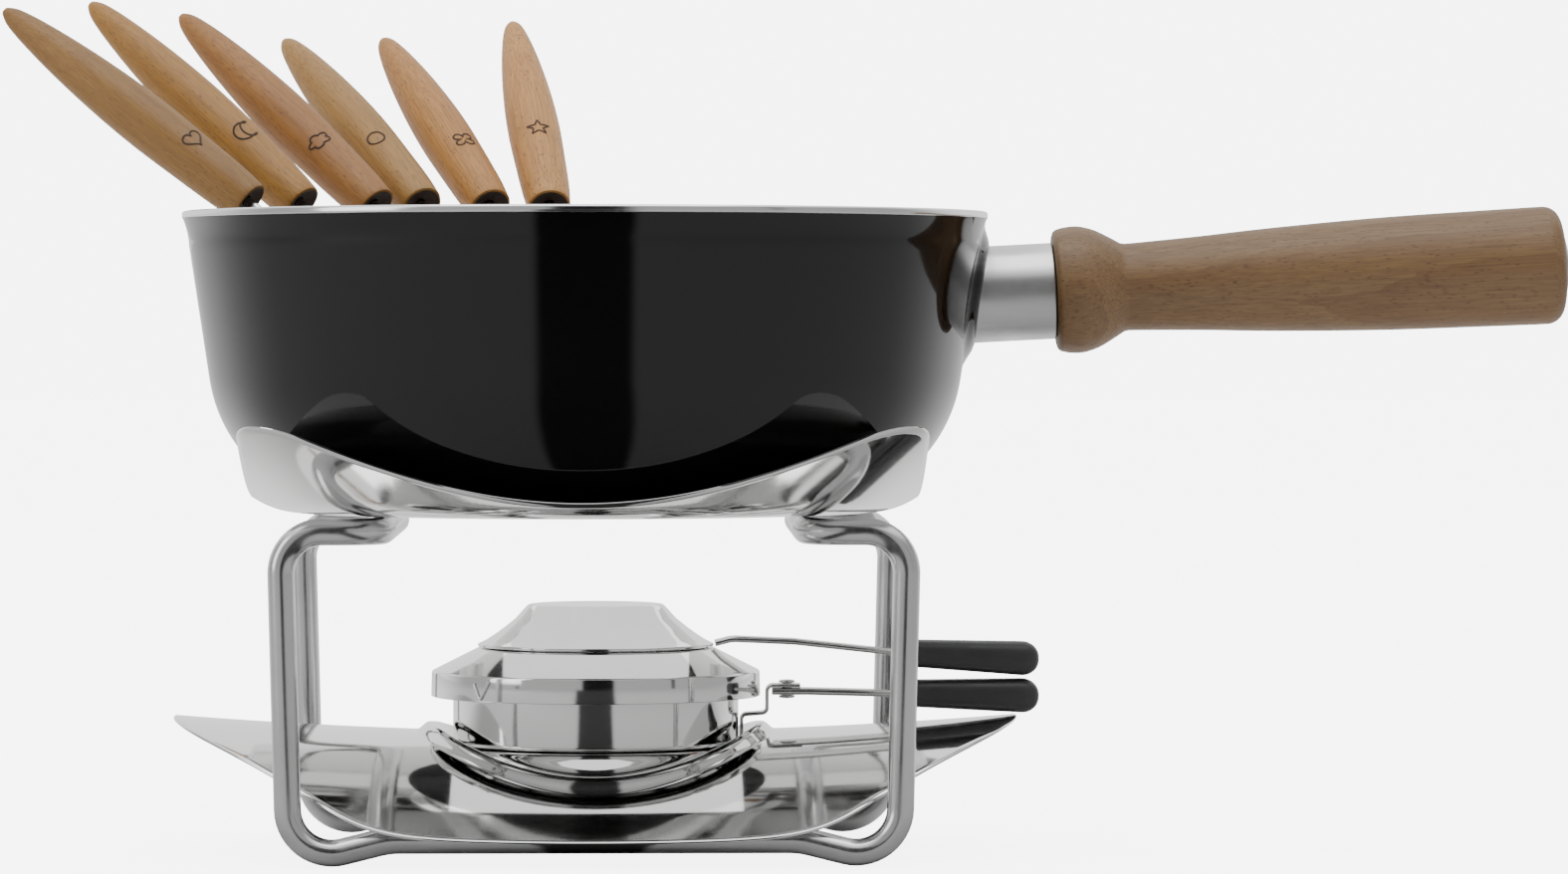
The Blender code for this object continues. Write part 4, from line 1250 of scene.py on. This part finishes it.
def buildFloor():
    mesh = bmesh.new()
    bmesh.ops.create_grid(mesh, x_segments=4, y_segments=4, size=room["floorHalf"])
    data = bpy.data.meshes.new("paleFloor")
    mesh.to_mesh(data)
    mesh.free()
    material, tree, shader = newMaterial("paleFloor")
    where = addNode(tree, "ShaderNodeTexCoord").outputs["Object"]
    cloud = noiseOf(tree, where, 3.0, 2.0)
    dim = tuple(channel * 0.985 for channel in room["floorColor"])
    pale = mixColors(tree, cloud, dim, room["floorColor"])
    # painted reflection: gloss surfaces see a greyer floor in front, with a dark strip down its middle, though the
    # floor itself is pale
    centre = onTable.translation
    fromStand = stretched(tree, where, (1, 1, 1), (-centre.x, -centre.y, 0))
    parts = addNode(tree, "ShaderNodeSeparateXYZ", {0: fromStand}).outputs
    turn = mathOf(tree, "ARCTAN2", parts["X"], mathOf(tree, "MULTIPLY", parts["Y"], -1.0))
    side = mathOf(tree, "ABSOLUTE", turn)
    half = math.radians(room["gapHalf"])
    edge = room["gapEdge"]
    strip = mapValue(tree, side, half - edge, half + edge, room["gapShade"], room["frontShade"], True)
    around = mapValue(tree, side, math.radians(room["darkTurn"]), math.radians(room["paleTurn"]), 0.0, 1.0, True)
    shade = blendOf(tree, around, strip, room["backShade"])
    grey = addNode(tree, "ShaderNodeCombineColor", {0: shade, 1: shade, 2: shade}).outputs[0]
    rays = addNode(tree, "ShaderNodeLightPath").outputs
    # painted reflection: gloss rays see the grey and its dark strip, other rays the pale floor
    tree.links.new(mixColors(tree, rays["Is Glossy Ray"], pale, grey), shader.inputs["Base Color"])
    glow = mathOf(tree, "MULTIPLY", rays["Is Camera Ray"], room["glow"])
    tree.links.new(glow, shader.inputs["Emission Strength"])
    setShader(shader, {"Emission Color": (1, 1, 1, 1), "Roughness": 0.9, "Specular IOR Level": 0.1})
    floor = bpy.data.objects.new("paleFloor", data)
    floor.location.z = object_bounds()[0].z - 0.0001
    floor.data.materials.append(material)
    bpy.context.scene.collection.objects.link(floor)


studioLook = {
    "seen": 6.6, "panel": 0.50, "gap": 0.012, "gapHalf": 11.0, "gapTurn": 2.0, "seamTurn": 56.0, "seamHalf": 1.5,
    "backdrop": 1.5, "ceiling": 1.5, "below": 1.1,
}


def buildWorld():
    # white to the eye; reflections see grey panels, a dark gap on the viewer's side, a white backdrop and ceiling
    world = bpy.data.worlds.new("studio")
    bpy.context.scene.world = world
    world.use_nodes = True
    tree = world.node_tree
    tree.nodes.clear()
    ray = addNode(tree, "ShaderNodeTexCoord").outputs["Generated"]
    parts = addNode(tree, "ShaderNodeSeparateXYZ", {0: ray}).outputs

    def degrees(value, low, high, start, end):
        return mapValue(tree, value, math.radians(low), math.radians(high), start, end, True)

    turn = mathOf(tree, "ARCTAN2", parts["X"], mathOf(tree, "MULTIPLY", parts["Y"], -1.0))
    side = mathOf(tree, "ABSOLUTE", turn)
    rise = mathOf(tree, "ARCSINE", parts["Z"])
    look = studioLook
    fromGap = mathOf(tree, "ABSOLUTE", mathOf(tree, "SUBTRACT", turn, math.radians(look["gapTurn"])))
    fromSeam = mathOf(tree, "ABSOLUTE", mathOf(tree, "SUBTRACT", side, math.radians(look["seamTurn"])))
    seam = degrees(fromSeam, 0.5 * look["seamHalf"], 1.5 * look["seamHalf"], 0.25, 1.0)
    panel = mathOf(tree, "MULTIPLY", seam, look["panel"])
    opening = degrees(fromGap, look["gapHalf"] - 1.5, look["gapHalf"] + 1.5, 0.0, 1.0)
    front = blendOf(tree, opening, look["gap"], panel)
    around = blendOf(tree, degrees(side, 100, 140, 0.0, 1.0), front, look["backdrop"])
    upper = blendOf(tree, degrees(rise, 32, 50, 0.0, 1.0), around, look["ceiling"])
    whole = blendOf(tree, degrees(rise, -3, 0, 0.0, 1.0), look["below"], upper)
    seen = addNode(tree, "ShaderNodeLightPath").outputs["Is Camera Ray"]
    strength = blendOf(tree, seen, whole, look["seen"])
    back = addNode(tree, "ShaderNodeBackground", {"Color": (1, 1, 1, 1), "Strength": strength})
    addNode(tree, "ShaderNodeOutputWorld", {"Surface": back.outputs[0]})


def aimObject(name, data, place, target):
    # puts a light or the camera at a place in millimetres, looking at a target
    thing = bpy.data.objects.new(name, data)
    thing.location = onTable @ Vector(place)
    aim = onTable @ Vector(target) - thing.location
    thing.rotation_euler = aim.to_track_quat("-Z", "Y").to_euler()
    bpy.context.scene.collection.objects.link(thing)
    return thing


# places and targets in millimetres, sizes in metres, power in watts
softLights = {
    "overhead": {"place": (0, -300, 1700), "target": (0, 0, 100), "size": (1.6, 1.2), "power": 14, "seen": True},
    "leftPanel": {"place": (-1500, -700, 700), "target": (0, 0, 120), "size": (0.8, 1.2), "power": 7, "seen": True},
    "underPot": {"place": (0, 0, 96), "target": (0, 0, 0), "size": (0.085, 0.085), "power": 0.03, "seen": False},
}


def addSoftLight(name, look):
    light = bpy.data.lights.new(name, "AREA")
    light.shape = "RECTANGLE"
    light.size, light.size_y = look["size"]
    light.energy = look["power"]
    aimObject(name, light, look["place"], look["target"]).visible_camera = look["seen"]


viewer = {"place": (14, -1880, 157.2), "target": (56.75, 0, 124.5), "sensor": 36, "lens": 143.2}


def buildCamera():
    camera = bpy.data.cameras.new("viewer")
    camera.sensor_width = viewer["sensor"]
    camera.lens = viewer["lens"]
    bpy.context.scene.camera = aimObject("viewer", camera, viewer["place"], viewer["target"])


buildFloor()
buildWorld()
for name, look in softLights.items():
    addSoftLight(name, look)
buildCamera()
print("room ready")
